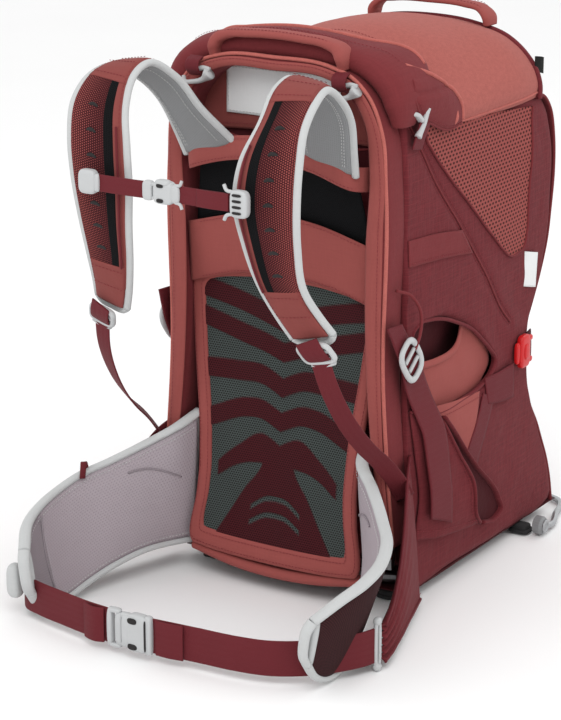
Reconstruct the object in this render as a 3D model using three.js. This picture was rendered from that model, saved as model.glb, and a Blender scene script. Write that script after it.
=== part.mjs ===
// Framed child carrier backpack, in millimetres, +Z up.
// The wearer's side faces -Y, the child and cargo side +Y, and the wearer's right is +X.
// Everything is built about the plane x = 0 and then centred on its own footprint at the end.
import * as THREE from 'three';

// ---- driving dimensions -------------------------------------------------
const GAP = 0.4;                    // clearance between touching pieces
const CLOTH = 4;                    // thickness of a fabric wall
const FLOOR_CLEARANCE = 14;         // height of the pack's base above the ground
const FRAME_TUBE_R = 7;
const FRAME_HALF_WIDTH = 140;
const FRAME_TOP = 676;
const FRAME_Y = 50;                 // middle of the frame tube behind the back panel
const BASE_TUBE_Z = 27;
const HUB_Y = 362;                  // kickstand pivot line
const HUB_Z = 20;
const HUB_X = 196;                  // inner face of the kickstand caps
const HUB_R = 13;
const CAP_THICK = 14;
const KICK_ROD_R = 4.5;
const RIM_FRONT = -10;
const RIM_BACK = 41;
const RIM_WIDTH = 20;
const WALL_X_BASE = 175;            // outer half width of the bag at its base
const WALL_X_TOP = 163;             // and at the rim under the hood
const HOOD_FRONT = 140;
const HOOD_REAR = 384;
const HOOD_LIP_Z = 613;             // lower edge of the hood
const REAR_WALL = [HOOD_REAR + 1, HOOD_REAR + 11];
const STRAP_THICK = 14;
const STRAP_WIDTH = 66;
const WEB_THICK = 2.4;
const HIP_WEB_WIDTH = 46;
const HIP_WEB_Z = 34;
const WING_THICK = 14;
const STERNUM_Z = 581;
const LEFT = -1;
const RIGHT = 1;
const SIDES = [['left', LEFT], ['right', RIGHT]];

// ---- finishes ------------------------------------------------------------
const FINISHES = {
  maroon: [0x6b2a32, 0.85, 0],
  maroonDark: [0x4e1c24, 0.9, 0],
  coral: [0xa0524c, 0.85, 0],
  heather: [0xb0625a, 0.9, 0],
  coralMesh: [0xb0605a, 0.9, 0],
  backMesh: [0x55605a, 0.8, 0],
  foam: [0x5a1f28, 0.9, 0],
  black: [0x17181a, 0.85, 0],
  lavender: [0xb3a9b0, 0.9, 0],
  paleBuckle: [0xd5d8d9, 0.45, 0],
  redBuckle: [0xc8202a, 0.45, 0],
  greyPlastic: [0x7f8486, 0.5, 0],
  blackRubber: [0x202122, 0.9, 0],
  aluminium: [0x8f9496, 0.35, 0.9],
};

function finish(name) {
  const [color, roughness, metalness] = FINISHES[name];
  return new THREE.MeshStandardMaterial({ color, roughness, metalness });
}

const carrier = new THREE.Group();

function add(name, finishName, geometry) {
  const mesh = new THREE.Mesh(geometry, finish(finishName));
  mesh.name = name;
  carrier.add(mesh);
  return mesh;
}

// ---- shape helpers -------------------------------------------------------
function outline(points, holes = []) {
  const shape = new THREE.Shape(points.map(([u, v]) => new THREE.Vector2(u, v)));
  for (const hole of holes) {
    shape.holes.push(new THREE.Path(hole.map(([u, v]) => new THREE.Vector2(u, v))));
  }
  return shape;
}

function slab(points, depth, holes = []) {
  return new THREE.ExtrudeGeometry(outline(points, holes), {
    depth, steps: 1, bevelEnabled: false, curveSegments: 6,
  });
}

// A slab whose outline is given as (y, z), standing from x = from to x = to.
function alongX(points, from, to, holes = []) {
  const geometry = slab(points, to - from, holes);
  geometry.applyMatrix4(new THREE.Matrix4().set(
    0, 0, 1, from,
    1, 0, 0, 0,
    0, 1, 0, 0,
    0, 0, 0, 1,
  ));
  return geometry;
}

// A slab whose outline is given as (x, z), standing from y = from to y = to.
function alongY(points, from, to, holes = []) {
  const geometry = slab(points, to - from, holes);
  geometry.applyMatrix4(new THREE.Matrix4().set(
    1, 0, 0, 0,
    0, 0, -1, to,
    0, 1, 0, 0,
    0, 0, 0, 1,
  ));
  return geometry;
}

function block(x0, x1, y0, y1, z0, z1) {
  const geometry = new THREE.BoxGeometry(x1 - x0, y1 - y0, z1 - z0);
  geometry.translate((x0 + x1) / 2, (y0 + y1) / 2, (z0 + z1) / 2);
  return geometry;
}

// Moves every vertex by a rule that is the same for both faces of a wall.
function reshape(geometry, rule) {
  const position = geometry.attributes.position;
  const point = new THREE.Vector3();
  for (let i = 0; i < position.count; i += 1) {
    point.fromBufferAttribute(position, i);
    rule(point);
    position.setXYZ(i, point.x, point.y, point.z);
  }
  geometry.computeVertexNormals();
  return geometry;
}

function curveThrough(points) {
  return new THREE.CatmullRomCurve3(
    points.map(([x, y, z]) => new THREE.Vector3(x, y, z)), false, 'centripetal',
  );
}

function rod(points, radius, steps, sides = 8) {
  const section = new THREE.Shape();
  for (let i = 0; i < sides; i += 1) {
    const turn = (i / sides) * Math.PI * 2;
    const u = radius * Math.cos(turn);
    const v = radius * Math.sin(turn);
    if (i === 0) section.moveTo(u, v);
    else section.lineTo(u, v);
  }
  section.closePath();
  return new THREE.ExtrudeGeometry(section, {
    steps, bevelEnabled: false, extrudePath: curveThrough(points),
  });
}

// A flat band of the given width and thickness along a path. The width lies across the path's plane.
function band(points, width, thickness, steps) {
  const section = outline([
    [-width / 2, -thickness / 2],
    [width / 2, -thickness / 2],
    [width / 2, thickness / 2],
    [-width / 2, thickness / 2],
  ]);
  return new THREE.ExtrudeGeometry(section, {
    steps, bevelEnabled: false, extrudePath: curveThrough(points),
  });
}

// Thick line: a polyline given a thickness to its left, as a closed outline.
function ribbon(points, thickness) {
  const shifted = points.map(([u, v], i) => {
    const before = points[Math.max(i - 1, 0)];
    const after = points[Math.min(i + 1, points.length - 1)];
    const du = after[0] - before[0];
    const dv = after[1] - before[1];
    const length = Math.hypot(du, dv);
    return [u - (dv / length) * thickness, v + (du / length) * thickness];
  });
  return [...points, ...shifted.reverse()];
}

function mirrored(points) {
  return points.map(([x, ...rest]) => [-x, ...rest]);
}

function bothHalves(rightHalf) {
  return [...rightHalf, ...mirrored(rightHalf).reverse()];
}

// An arch outline: outer half profile from the foot to the middle, and the same drawn inwards.
function arch(outerHalf, innerHalf) {
  return [
    ...outerHalf,
    ...mirrored(outerHalf).reverse(),
    ...mirrored(innerHalf),
    ...[...innerHalf].reverse(),
  ];
}

// Half width of the bag's outer wall at a height.
function wallX(z) {
  const t = (z - FLOOR_CLEARANCE) / (HOOD_LIP_Z - FLOOR_CLEARANCE);
  return WALL_X_BASE + (WALL_X_TOP - WALL_X_BASE) * t;
}

function mirrorX(side) {
  return side === LEFT ? new THREE.Matrix4().makeScale(-1, 1, 1) : new THREE.Matrix4();
}

// Gives the piece made for the right side its place on either side, with its faces still outward.
function handed(geometry, side) {
  if (side === RIGHT) return geometry;
  geometry.applyMatrix4(mirrorX(side));
  const plain = geometry.index ? geometry.toNonIndexed() : geometry;
  const position = plain.attributes.position;
  for (let i = 0; i < position.count; i += 3) {
    const a = new THREE.Vector3().fromBufferAttribute(position, i);
    const b = new THREE.Vector3().fromBufferAttribute(position, i + 1);
    position.setXYZ(i, b.x, b.y, b.z);
    position.setXYZ(i + 1, a.x, a.y, a.z);
  }
  plain.computeVertexNormals();
  return plain;
}

// ---- frame -----------------------------------------------------------------
function buildFrame() {
  const foot = BASE_TUBE_Z + 2 * FRAME_TUBE_R + 1;
  const halfTube = [
    [FRAME_HALF_WIDTH, FRAME_Y, foot],
    [FRAME_HALF_WIDTH, FRAME_Y, 200],
    [FRAME_HALF_WIDTH, FRAME_Y, 400],
    [FRAME_HALF_WIDTH, FRAME_Y, 560],
    [FRAME_HALF_WIDTH - 6, FRAME_Y, 625],
    [FRAME_HALF_WIDTH - 36, FRAME_Y, FRAME_TOP - 12],
    [FRAME_HALF_WIDTH - 80, FRAME_Y, FRAME_TOP],
    [0, FRAME_Y, FRAME_TOP],
  ];
  const whole = [...halfTube, ...mirrored(halfTube.slice(0, -1)).reverse()];
  add('main_frame_tube', 'aluminium', rod(whole, FRAME_TUBE_R, 44));

  const baseHalf = [
    [0, FRAME_Y, BASE_TUBE_Z],
    [100, FRAME_Y, BASE_TUBE_Z],
    [138, FRAME_Y + 4, BASE_TUBE_Z],
    [152, FRAME_Y + 30, BASE_TUBE_Z],
    [156, 160, BASE_TUBE_Z],
    [158, 300, BASE_TUBE_Z],
    [160, HUB_Y + 4, BASE_TUBE_Z],
  ];
  const base = [...mirrored(baseHalf.slice(1)).reverse(), ...baseHalf];
  add('base_frame_tube', 'aluminium', rod(base, FRAME_TUBE_R, 44));

  for (const [name, side] of SIDES) {
    const shoe = block(118, 156, 36, 84, 0, FLOOR_CLEARANCE - GAP);
    add(`front_foot_${name}`, 'blackRubber', handed(shoe, side));

    // The rear foot carries the pivot of the kickstand: a block under the base with a boss outside.
    const profile = [
      [HUB_Y - 26, 0],
      [HUB_Y + 10, 0],
      [HUB_Y + 13, 8],
      [HUB_Y + 13, FLOOR_CLEARANCE - GAP],
      [HUB_Y - 30, FLOOR_CLEARANCE - GAP],
    ];
    add(`rear_foot_${name}`, 'blackRubber', handed(alongX(profile, 150, HUB_X - 1), side));
  }
}

function buildKickstand() {
  const halfLoop = [
    [HUB_X + 7, HUB_Y + HUB_R + GAP, 8],
    [HUB_X + 10, HUB_Y + 28, 7],
    [HUB_X + 6, HUB_Y + 44, 6],
    [HUB_X - 6, HUB_Y + 74, 5.5],
    [HUB_X - 14, HUB_Y + 106, 5],
    [HUB_X - 28, HUB_Y + 126, 5],
    [HUB_X - 56, HUB_Y + 134, 5],
    [60, HUB_Y + 136, 5],
    [0, HUB_Y + 136, 5],
  ];
  const loop = [...halfLoop, ...mirrored(halfLoop.slice(0, -1)).reverse()];
  add('kickstand_loop', 'aluminium', rod(loop, KICK_ROD_R, 56));

  for (const [name, side] of SIDES) {
    const profile = [
      [0, 0],
      [HUB_R, 0],
      [HUB_R, CAP_THICK - 4],
      [HUB_R - 3, CAP_THICK],
      [0, CAP_THICK],
    ].map(([r, h]) => new THREE.Vector2(r, h));
    const cap = new THREE.LatheGeometry(profile, 20);
    cap.rotateZ(-Math.PI / 2);
    cap.translate(HUB_X, HUB_Y, HUB_Z - 6);
    add(`kickstand_cap_${name}`, 'greyPlastic', handed(cap, side));
  }
}

// ---- bag -------------------------------------------------------------------
const REAR_UPPER = [
  [362, 292], [388, 330], [412, 372], [428, 410],
  [440, 470], [445, 525], [434, 582], [400, HOOD_LIP_Z - 5],
];
const REAR_LOWER = [
  [452, FLOOR_CLEARANCE + CLOTH + GAP], [440, 72], [418, 130], [388, 182], [366, 228], [360, 262],
];

const HOOD_TOP = 711;
const HOOD_OUTLINE = [
  [174, HOOD_LIP_Z], [173, 634], [160, 660], [134, 684], [92, 700], [44, 708], [0, HOOD_TOP],
];

function buildBag() {
  const lean = (point) => {
    const side = Math.sign(point.x);
    point.x += side * (wallX(point.z) - WALL_X_BASE);
  };
  const front = FRAME_Y - FRAME_TUBE_R - GAP;
  const wall = [
    [front, FLOOR_CLEARANCE + CLOTH + GAP],
    ...REAR_LOWER,
    [356, 278],
    ...REAR_UPPER,
    [HOOD_FRONT + 18, HOOD_LIP_Z - 5],
    [HOOD_FRONT - 6, HOOD_LIP_Z + 38],
    [front, HOOD_LIP_Z + 44],
  ];
  const legOpening = [
    [60, 364], [90, 371], [123, 367], [198, 335], [238, 302], [260, 273],
    [229, 251], [206, 222], [150, 206], [98, 232], [64, 290],
  ];
  const meshWindow = [
    [72, 600], [352, 600], [346, 560], [318, 420], [300, 412], [272, 416], [254, 428],
  ];
  const shrunk = (points, by) => {
    const cy = points.reduce((sum, p) => sum + p[0], 0) / points.length;
    const cz = points.reduce((sum, p) => sum + p[1], 0) / points.length;
    return points.map(([y, z]) => {
      const length = Math.hypot(y - cy, z - cz);
      return [y - ((y - cy) / length) * by, z - ((z - cz) / length) * by];
    });
  };
  for (const [name, side] of SIDES) {
    const outer = WALL_X_BASE;
    const panel = alongX(wall, outer - CLOTH, outer, [legOpening, meshWindow]);
    add(`side_panel_${name}`, 'maroon', handed(reshape(panel, lean), side));
    const mesh = alongX(shrunk(meshWindow, 1.2), outer - CLOTH + 1, outer - 1);
    add(`side_mesh_${name}`, 'coralMesh', handed(reshape(mesh, lean), side));
  }

  const inside = WALL_X_TOP - CLOTH - 1;
  add('rear_panel', 'maroon', alongX(ribbon(REAR_UPPER, CLOTH), -inside, inside));
  add('rear_pocket_panel', 'maroon', alongX(ribbon(REAR_LOWER, -CLOTH).reverse(), -inside, inside));
  const baseTop = FLOOR_CLEARANCE + CLOTH;
  const base = [[front, FLOOR_CLEARANCE], [454, FLOOR_CLEARANCE], [454, baseTop], [front, baseTop]];
  add('bottom_panel', 'maroonDark', alongX(base, -WALL_X_BASE, WALL_X_BASE));
  add('cockpit_front_panel', 'maroonDark', block(-inside, inside, 60, 63, 40, 640));

  // Stiffened wall that closes the hood's rear and carries the lifting handle.
  const crown = bothHalves(HOOD_OUTLINE.map(([x, z]) => [x - 2, z - 2]).reverse().slice(1));
  add('rear_crown', 'maroon', alongY([[0, HOOD_TOP - 2], ...crown], ...REAR_WALL));
}

function buildHood() {
  const inner = [
    [169, HOOD_LIP_Z], [168, 632], [156, 656], [132, 679], [91, 695], [44, 703], [0, 706],
  ];
  add('hood', 'heather', alongY(arch(HOOD_OUTLINE, inner), HOOD_FRONT, HOOD_REAR));

  const gripY = (REAR_WALL[0] + REAR_WALL[1]) / 2;
  const halfGrip = [[88, gripY, 702], [86, gripY, 712], [76, gripY, 721], [54, gripY, 726], [0, gripY, 728]];
  const grip = [...halfGrip, ...mirrored(halfGrip.slice(0, -1)).reverse()];
  add('rear_handle', 'coral', rod(grip, 6, 24));
}

// ---- back panel --------------------------------------------------------------
function buildBackPanel() {
  const rimOuter = [
    [178, 110], [166, 200], [160, 300], [160, 560], [154, 622], [136, 664], [112, 688], [86, 700], [0, 704],
  ];
  const rimInner = [
    [160, 110], [149, 200], [142, 300], [141, 556], [135, 612], [120, 648], [100, 669], [80, 680], [0, 684],
  ];
  add('front_rim', 'maroon', alongY(arch(rimOuter, rimInner), RIM_FRONT, RIM_BACK));

  // The suspended panel leans back towards its top.
  const lean = (point) => {
    point.y += (point.z - 70) * 0.1;
  };
  const panelOuter = bothHalves([[128, 36], [116, 130], [120, 220], [134, 330], [140, 416]]);
  const panelHole = bothHalves([[110, 70], [100, 140], [104, 220], [116, 320], [122, 400]]);
  add('back_border', 'coral', reshape(alongY(panelOuter, -16, -6, [panelHole]), lean));
  const seam = 0.8;
  const inset = panelHole.map(([x, z]) => [x - Math.sign(x) * seam, z + (z < 100 ? seam : -seam)]);
  add('back_mesh', 'backMesh', reshape(alongY(inset, -13, -10), lean));
  const pad = bothHalves([[104, 76], [94, 140], [98, 220], [110, 320], [116, 394]]);
  add('ridged_foam_pad', 'foam', reshape(alongY(pad, -5, 4), lean));

  const upper = bothHalves([[140, 418], [140, 560], [132, 606]]);
  add('back_upper_panel', 'black', alongY(upper, 31, 35));
  const crown = bothHalves([[131, 612], [118, 644], [98, 665], [78, 676]]);
  add('crown_panel', 'coral', alongY(crown, 24, 30));
}

function buildTopHandle() {
  const outer = [[96, 705], [92, 718], [74, 730], [40, 736], [0, 738]];
  const inner = [[78, 705], [74, 709], [62, 714], [36, 718], [0, 719]];
  add('front_handle', 'coral', alongY(arch(outer, inner), -8, 18));
  for (const [name, side] of SIDES) {
    // Light hook with a loop end, lying across the rim's upper corner.
    const hook = [[86, 676], [104, 672], [122, 664], [128, 672], [112, 682], [92, 688]];
    const hookSolid = alongY(hook, RIM_FRONT - 12, RIM_FRONT - GAP);
    add(`front_hook_${name}`, 'paleBuckle', handed(hookSolid, side));
    const toggle = [[42, 622], [56, 616], [66, 620], [62, 634], [50, 650], [40, 646]];
    add(`side_toggle_${name}`, 'paleBuckle', handed(alongX(toggle, 165.6, 175), side));
  }
}

// ---- sides: foot loops and compression buckles ----------------------------------
function buildSideGear() {
  for (const [name, side] of SIDES) {
    const pouch = [
      [40, 262], [62, 268], [110, 230], [196, 120], [262, 62], [240, 50], [120, 62], [62, 78], [44, 150],
    ];
    const stirrup = alongX(pouch, WALL_X_BASE + 6, WALL_X_BASE + 14);
    add(`foot_loop_${name}`, 'maroon', handed(stirrup, side));
    const buckle = block(WALL_X_BASE + 1, WALL_X_BASE + 11, 318, 340, 252, 294);
    add(`side_buckle_${name}`, 'redBuckle', handed(buckle, side));
  }
}

// ---- hip belt ---------------------------------------------------------------------
const WING_REACH = 190;

// Plan position of the wing's inner face.
function wingX(y, z) {
  const swing = Math.sin((-y / WING_REACH) * (Math.PI / 2));
  return 143 + 80 * swing + 0.33 * swing * Math.abs(swing) * (z - 80);
}

function buildHipBelt() {
  const wing = [
    [-14, 196], [-48, 184], [-86, 165], [-135, 145], [-190, 128], [-236, 112], [-262, 94],
    [-266, 62], [-256, 30], [-232, 10], [-190, 6], [-150, 14], [-106, 30], [-50, 44], [-16, 48],
  ];
  const fin = [
    [-150, 118], [-90, 128], [-20, 122], [36, 128], [36, 30], [-20, 22], [-90, 16], [-150, 14],
  ];
  for (const [name, side] of SIDES) {
    const pad = alongX(wing, 0, WING_THICK);
    add(`hip_wing_${name}`, 'lavender', handed(reshape(pad, (p) => { p.x += wingX(p.y, p.z); }), side));
    const skin = alongX(fin, 0, CLOTH);
    const bulge = (p) => {
      const reach = (36 - p.y) / 186;
      p.x += wingX(Math.min(p.y, -16), p.z) + WING_THICK + 3 + 22 * (1 - reach);
    };
    add(`hip_fin_${name}`, 'maroon', handed(reshape(skin, bulge), side));
  }
  const rightRun = [
    [240, -160, HIP_WEB_Z], [246, -190, HIP_WEB_Z], [243, -226, HIP_WEB_Z], [232, -258, HIP_WEB_Z],
    [205, -281, HIP_WEB_Z], [150, -283, HIP_WEB_Z], [90, -281, HIP_WEB_Z], [-6, -280, HIP_WEB_Z],
  ];
  const leftRun = [
    [-66, -280, HIP_WEB_Z], [-100, -280, HIP_WEB_Z], [-150, -282, HIP_WEB_Z], [-205, -281, HIP_WEB_Z],
    [-232, -258, HIP_WEB_Z], [-243, -226, HIP_WEB_Z], [-246, -190, HIP_WEB_Z], [-240, -160, HIP_WEB_Z],
  ];
  add('hip_webbing_right', 'maroon', band(rightRun, HIP_WEB_WIDTH, WEB_THICK, 22));
  add('hip_webbing_left', 'maroon', band(leftRun, HIP_WEB_WIDTH, WEB_THICK, 20));
  const top = HIP_WEB_Z + 27;
  const bottom = HIP_WEB_Z - 27;
  add('hip_buckle_female', 'paleBuckle', block(-46, -6.5, -288, -272, bottom, top));
  add('hip_buckle_male', 'paleBuckle', block(-66, -46.5, -286, -274, bottom + 3, top - 3));
  for (const [name, side] of SIDES) {
    const bar = block(236, 244, -158, -150, 4, 68);
    add(`hip_adjuster_${name}`, 'paleBuckle', handed(bar, side));
  }
}

// ---- shoulder harness ----------------------------------------------------------------
function buildHarness() {
  const yoke = bothHalves([[136, 546], [136, 580]]);
  add('harness_yoke', 'coral', alongY(yoke, 22, 26));

  const strapRun = [
    [88, 14, 574], [92, -12, 610], [98, -40, 652], [106, -74, 686], [114, -112, 702], [120, -152, 694],
    [124, -186, 660], [122, -208, 616], [120, -214, 572], [120, -206, 520], [124, -192, 468],
    [134, -174, 424], [139, -168, 409],
  ];
  const webRun = [
    [160, -162, 380], [166, -148, 340], [172, -118, 292], [178, -72, 246], [182, -28, 214], [186, 10, 190],
  ];
  for (const [name, side] of SIDES) {
    add(`shoulder_strap_${name}`, 'maroonDark', handed(band(strapRun, STRAP_WIDTH, STRAP_THICK, 30), side));
    const lock = block(136, 176, -172, -156, 382, 397);
    add(`ladder_lock_${name}`, 'paleBuckle', handed(lock, side));
    add(`lower_webbing_${name}`, 'maroon', handed(band(webRun, 24, WEB_THICK, 14), side));
  }

  const y0 = -234;
  const z = STERNUM_Z;
  add('sternum_slider_left', 'paleBuckle', block(-130, -104, y0 - 8, y0 + 4, z - 16, z + 16));
  add('sternum_slider_right', 'paleBuckle', block(84, 110, y0 - 8, y0 + 4, z - 22, z + 16));
  add('sternum_webbing_left', 'maroon', block(-103.5, -37, y0 - 3, y0 - 0.6, z - 10, z + 10));
  add('sternum_buckle_male', 'paleBuckle', block(-36.5, -22, y0 - 7, y0 + 4, z - 12, z + 12));
  add('sternum_buckle_female', 'paleBuckle', block(-21.5, 14, y0 - 9, y0 + 6, z - 15, z + 15));
  add('sternum_webbing_right', 'maroon', block(14.5, 83.5, y0 - 3, y0 - 0.6, z - 10, z + 10));
}

// ---- child seat --------------------------------------------------------------------
function buildChildSeat() {
  const saddle = [[92, 236], [312, 236], [318, 254], [250, 262], [170, 266], [92, 260]];
  add('seat_pad', 'maroonDark', alongX(saddle, -70, 70));
  const rest = [
    [344, 270], [372, 330], [398, 400], [410, 480], [398, 480], [386, 404], [360, 336], [332, 276],
  ];
  add('seat_back_pad', 'coral', alongX(rest, -110, 110));
}

buildFrame();
buildKickstand();
buildBag();
buildHood();
buildBackPanel();
buildTopHandle();
buildSideGear();
buildHipBelt();
buildHarness();
buildChildSeat();

// The origin is the middle of the footprint, on the ground.
const bounds = new THREE.Box3().setFromObject(carrier);
const middle = bounds.getCenter(new THREE.Vector3());
carrier.position.set(-middle.x, -middle.y, -bounds.min.z);

export default carrier;
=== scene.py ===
"""Framed child carrier backpack: cloth, padding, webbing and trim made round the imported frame.

Places are written in millimetres in the pack's own frame: x = 0 is the middle, y = 0 the front of the
frame, z = 0 the ground. place() carries them into the frame's metres.
"""

import math

import bpy
import numpy as np
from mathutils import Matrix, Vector


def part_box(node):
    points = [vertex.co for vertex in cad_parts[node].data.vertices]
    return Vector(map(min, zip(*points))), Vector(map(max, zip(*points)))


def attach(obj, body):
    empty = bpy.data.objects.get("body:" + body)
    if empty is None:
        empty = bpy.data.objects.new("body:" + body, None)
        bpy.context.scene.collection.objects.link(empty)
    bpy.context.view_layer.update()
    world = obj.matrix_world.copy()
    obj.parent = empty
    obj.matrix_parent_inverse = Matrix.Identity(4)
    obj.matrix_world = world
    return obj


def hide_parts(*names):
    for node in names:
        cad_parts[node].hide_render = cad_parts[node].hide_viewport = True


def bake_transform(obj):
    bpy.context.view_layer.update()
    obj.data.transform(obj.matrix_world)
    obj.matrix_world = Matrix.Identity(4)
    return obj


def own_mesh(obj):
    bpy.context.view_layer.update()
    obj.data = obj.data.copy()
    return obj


bl_info = {
    "name": "Child Carrier Backpack",
    "version": (1, 0, 0),
    "blender": (4, 5, 0),
    "location": "View3D > Sidebar > Carrier",
    "description": "Builds the cloth, padding, webbing and trim of a framed child carrier",
    "category": "Add Mesh",
}

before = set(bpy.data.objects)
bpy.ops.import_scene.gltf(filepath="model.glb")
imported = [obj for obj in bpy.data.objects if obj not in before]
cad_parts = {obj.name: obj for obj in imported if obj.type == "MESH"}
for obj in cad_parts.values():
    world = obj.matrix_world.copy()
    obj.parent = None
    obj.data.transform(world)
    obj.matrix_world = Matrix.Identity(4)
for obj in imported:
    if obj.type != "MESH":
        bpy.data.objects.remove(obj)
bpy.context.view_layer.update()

MM = 0.001
HOOD_FRONT = 140.0
PACK_ORIGIN = np.array([0.0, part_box("hood")[0].y - HOOD_FRONT * MM, 0.0])
SIDES = (("right", 1.0), ("left", -1.0))
X_AXIS = np.array([1.0, 0.0, 0.0])
Y_AXIS = np.array([0.0, 1.0, 0.0])
Z_AXIS = np.array([0.0, 0.0, 1.0])
SLANTED = np.array([0.31, 0.52, 0.79])
PAINT = {}


# ---- sizes and colours a user may change -----------------------------------------------------
def colour_property(name, description, default):
    """A colour of the object, in linear light."""
    return bpy.props.FloatVectorProperty(
        name=name, description=description, default=default, subtype="COLOR", size=3, min=0.0, max=1.0
    )


class CarrierSizes(bpy.types.PropertyGroup):
    """How full the padding is and how slack the cloth hangs."""

    strap_pad: bpy.props.FloatProperty(
        name="Strap padding", description="Thickness of the shoulder straps", default=0.012, unit="LENGTH"
    )
    belt_pad: bpy.props.FloatProperty(
        name="Belt padding", description="Thickness of the hip wings", default=0.014, unit="LENGTH"
    )
    cloth: bpy.props.FloatProperty(
        name="Cloth", description="Thickness of the pack cloth", default=0.0012, unit="LENGTH"
    )
    slack: bpy.props.FloatProperty(
        name="Slack", description="Depth of the folds in the side walls", default=0.0016, unit="LENGTH"
    )
    piping: bpy.props.FloatProperty(name="Piping",
                                    description="Radius of the rolled edge of straps and belt",
                                    default=0.0045, unit="LENGTH")
    stitch: bpy.props.FloatProperty(
        name="Stitch", description="Length of one stitch with its gap", default=0.005, unit="LENGTH"
    )


class CarrierColours(bpy.types.PropertyGroup):
    """Colours of the cloths, nets, webbing and plastics."""

    maroon: colour_property("Maroon", "Ripstop of the pack body", (0.140, 0.021, 0.026))
    # Dark maroon: partly the lining cloth's own colour, partly painted shade for recesses, insides and the
    # underside.
    maroon_dark: colour_property("Dark maroon", "Lining and recesses", (0.060, 0.008, 0.011))
    collar: colour_property("Collar", "Padded collar round the cockpit", (0.175, 0.029, 0.033))
    coral: colour_property("Coral", "Padded borders and handles", (0.315, 0.078, 0.070))
    heather: colour_property("Heather", "Hood cloth", (0.375, 0.104, 0.088))
    webbing: colour_property("Webbing", "Straps of the belt and harness", (0.135, 0.018, 0.024))
    pale: colour_property("Pale trim", "Piping and bindings", (0.52, 0.53, 0.53))
    lavender: colour_property("Belt lining", "Inner face of the hip wings", (0.40, 0.345, 0.375))
    lining: colour_property("Strap lining", "Inner face of the straps", (0.27, 0.275, 0.28))
    net_grey: colour_property("Back net", "Net over the foam ribs", (0.034, 0.041, 0.039))
    rib: colour_property("Foam rib", "Foam showing through the net", (0.050, 0.006, 0.009))
    black: colour_property("Black net", "Black mesh panels", (0.006, 0.006, 0.007))
    plastic: colour_property("Pale plastic", "Buckles and sliders", (0.47, 0.48, 0.485))
    red: colour_property("Red plastic", "Side buckles", (0.55, 0.008, 0.010))


def sizes():
    """The scene's sizes."""
    return bpy.context.scene.carrier_sizes


# ---- curves and grids ------------------------------------------------------------------------
def unit(v):
    """Each row divided by its own length."""
    return v / np.maximum(np.linalg.norm(v, axis=-1, keepdims=True), 1e-9)


def cubic(t, p, m, x):
    """The cubic through values p at t with slopes m, read at x."""
    i = np.clip(np.searchsorted(t, x, side="right") - 1, 0, len(t) - 2)
    h = (t[i + 1] - t[i])[:, None]
    s = (x - t[i])[:, None] / h
    return (
        (2 * s**3 - 3 * s**2 + 1) * p[i]
        + (s**3 - 2 * s**2 + s) * h * m[i]
        + (3 * s**2 - 2 * s**3) * p[i + 1]
        + (s**3 - s**2) * h * m[i + 1]
    )


def lengths(p):
    """Distance along a row of points, from nought."""
    return np.concatenate([[0.0], np.cumsum(np.maximum(np.linalg.norm(np.diff(p, axis=0), axis=1), 1e-6))])


def read_at(at, run, table):
    """Each column of a table of points, read in straight steps at distances along it."""
    return np.stack([np.interp(at, run, table[:, k]) for k in range(3)], axis=-1)


def smooth(points, count, closed=False, tight=1.0):
    """A cubic through the points, its slopes the chords of the neighbours times tight, at equal steps."""
    p = np.asarray(points, float)
    first, last = 0, len(p) - 1
    if closed:
        first, last = 2, len(p) + 2
        p = np.vstack([p[-2:], p, p[:3]])
    t = lengths(p)
    slope = np.gradient(p, t, axis=0) * tight
    x = np.linspace(t[first], t[last], 24 * count)
    line = cubic(t, p, slope, x)
    run = lengths(line)
    steps = np.linspace(0, run[-1], count + 1)[:-1] if closed else np.linspace(0, run[-1], count)
    return cubic(t, p, slope, np.interp(steps, run, x))


def loft(curves, count):
    """A sheet through several curves of equal length: the same cubic, taken across the curves."""
    c = np.stack([np.asarray(k, float) for k in curves])
    flat = c.reshape(len(c), -1)
    gap = np.linalg.norm(np.diff(c, axis=0), axis=2).mean(axis=1)
    t = np.concatenate([[0.0], np.cumsum(gap)])
    slope = np.gradient(flat, t, axis=0)
    return cubic(t, flat, slope, np.linspace(0, t[-1], count)).reshape(count, c.shape[1], 3)


def coons(bottom, top, left, right, nu, nv):
    """A patch between four edges: the two ruled sheets of opposite edges less the flat one of the corners."""
    b, t = smooth(bottom, nu), smooth(top, nu)
    lf, r = smooth(left, nv), smooth(right, nv)
    u = np.linspace(0, 1, nu)[:, None, None]
    v = np.linspace(0, 1, nv)[None, :, None]
    ruled = (1 - v) * b[:, None] + v * t[:, None] + (1 - u) * lf[None] + u * r[None]
    corners = (1 - u) * (1 - v) * b[0] + u * (1 - v) * b[-1] + (1 - u) * v * t[0] + u * v * t[-1]
    return ruled - corners


def oval(a, b, count=20, power=2.0):
    """A closed superellipse of half sizes a and b: cosine and sine raised to two over the power."""
    turn = np.linspace(0, 2 * math.pi, count, endpoint=False)
    c, s = np.cos(turn), np.sin(turn)
    return np.stack(
        [a * np.sign(c) * np.abs(c) ** (2 / power), b * np.sign(s) * np.abs(s) ** (2 / power)], axis=1
    )


def sweep(path, section, across, closed=False, scale=None):
    """A section carried along a path: its first number along across made square to the path, the second
    along the normal of both."""
    path = np.asarray(path, float)
    ends = (np.roll(path, -1, axis=0) - np.roll(path, 1, axis=0)) if closed else np.gradient(path, axis=0)
    tangent = unit(ends)
    across = np.broadcast_to(np.asarray(across, float), path.shape)
    side = unit(across - (across * tangent).sum(1, keepdims=True) * tangent)
    out = np.cross(tangent, side)
    sec = np.broadcast_to(np.asarray(section, float), (len(path),) + np.shape(section)[-2:])
    if scale is not None:
        sec = sec * np.asarray(scale, float)[:, None, None]
    return path[:, None] + side[:, None] * sec[..., :1] + out[:, None] * sec[..., 1:]


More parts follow.
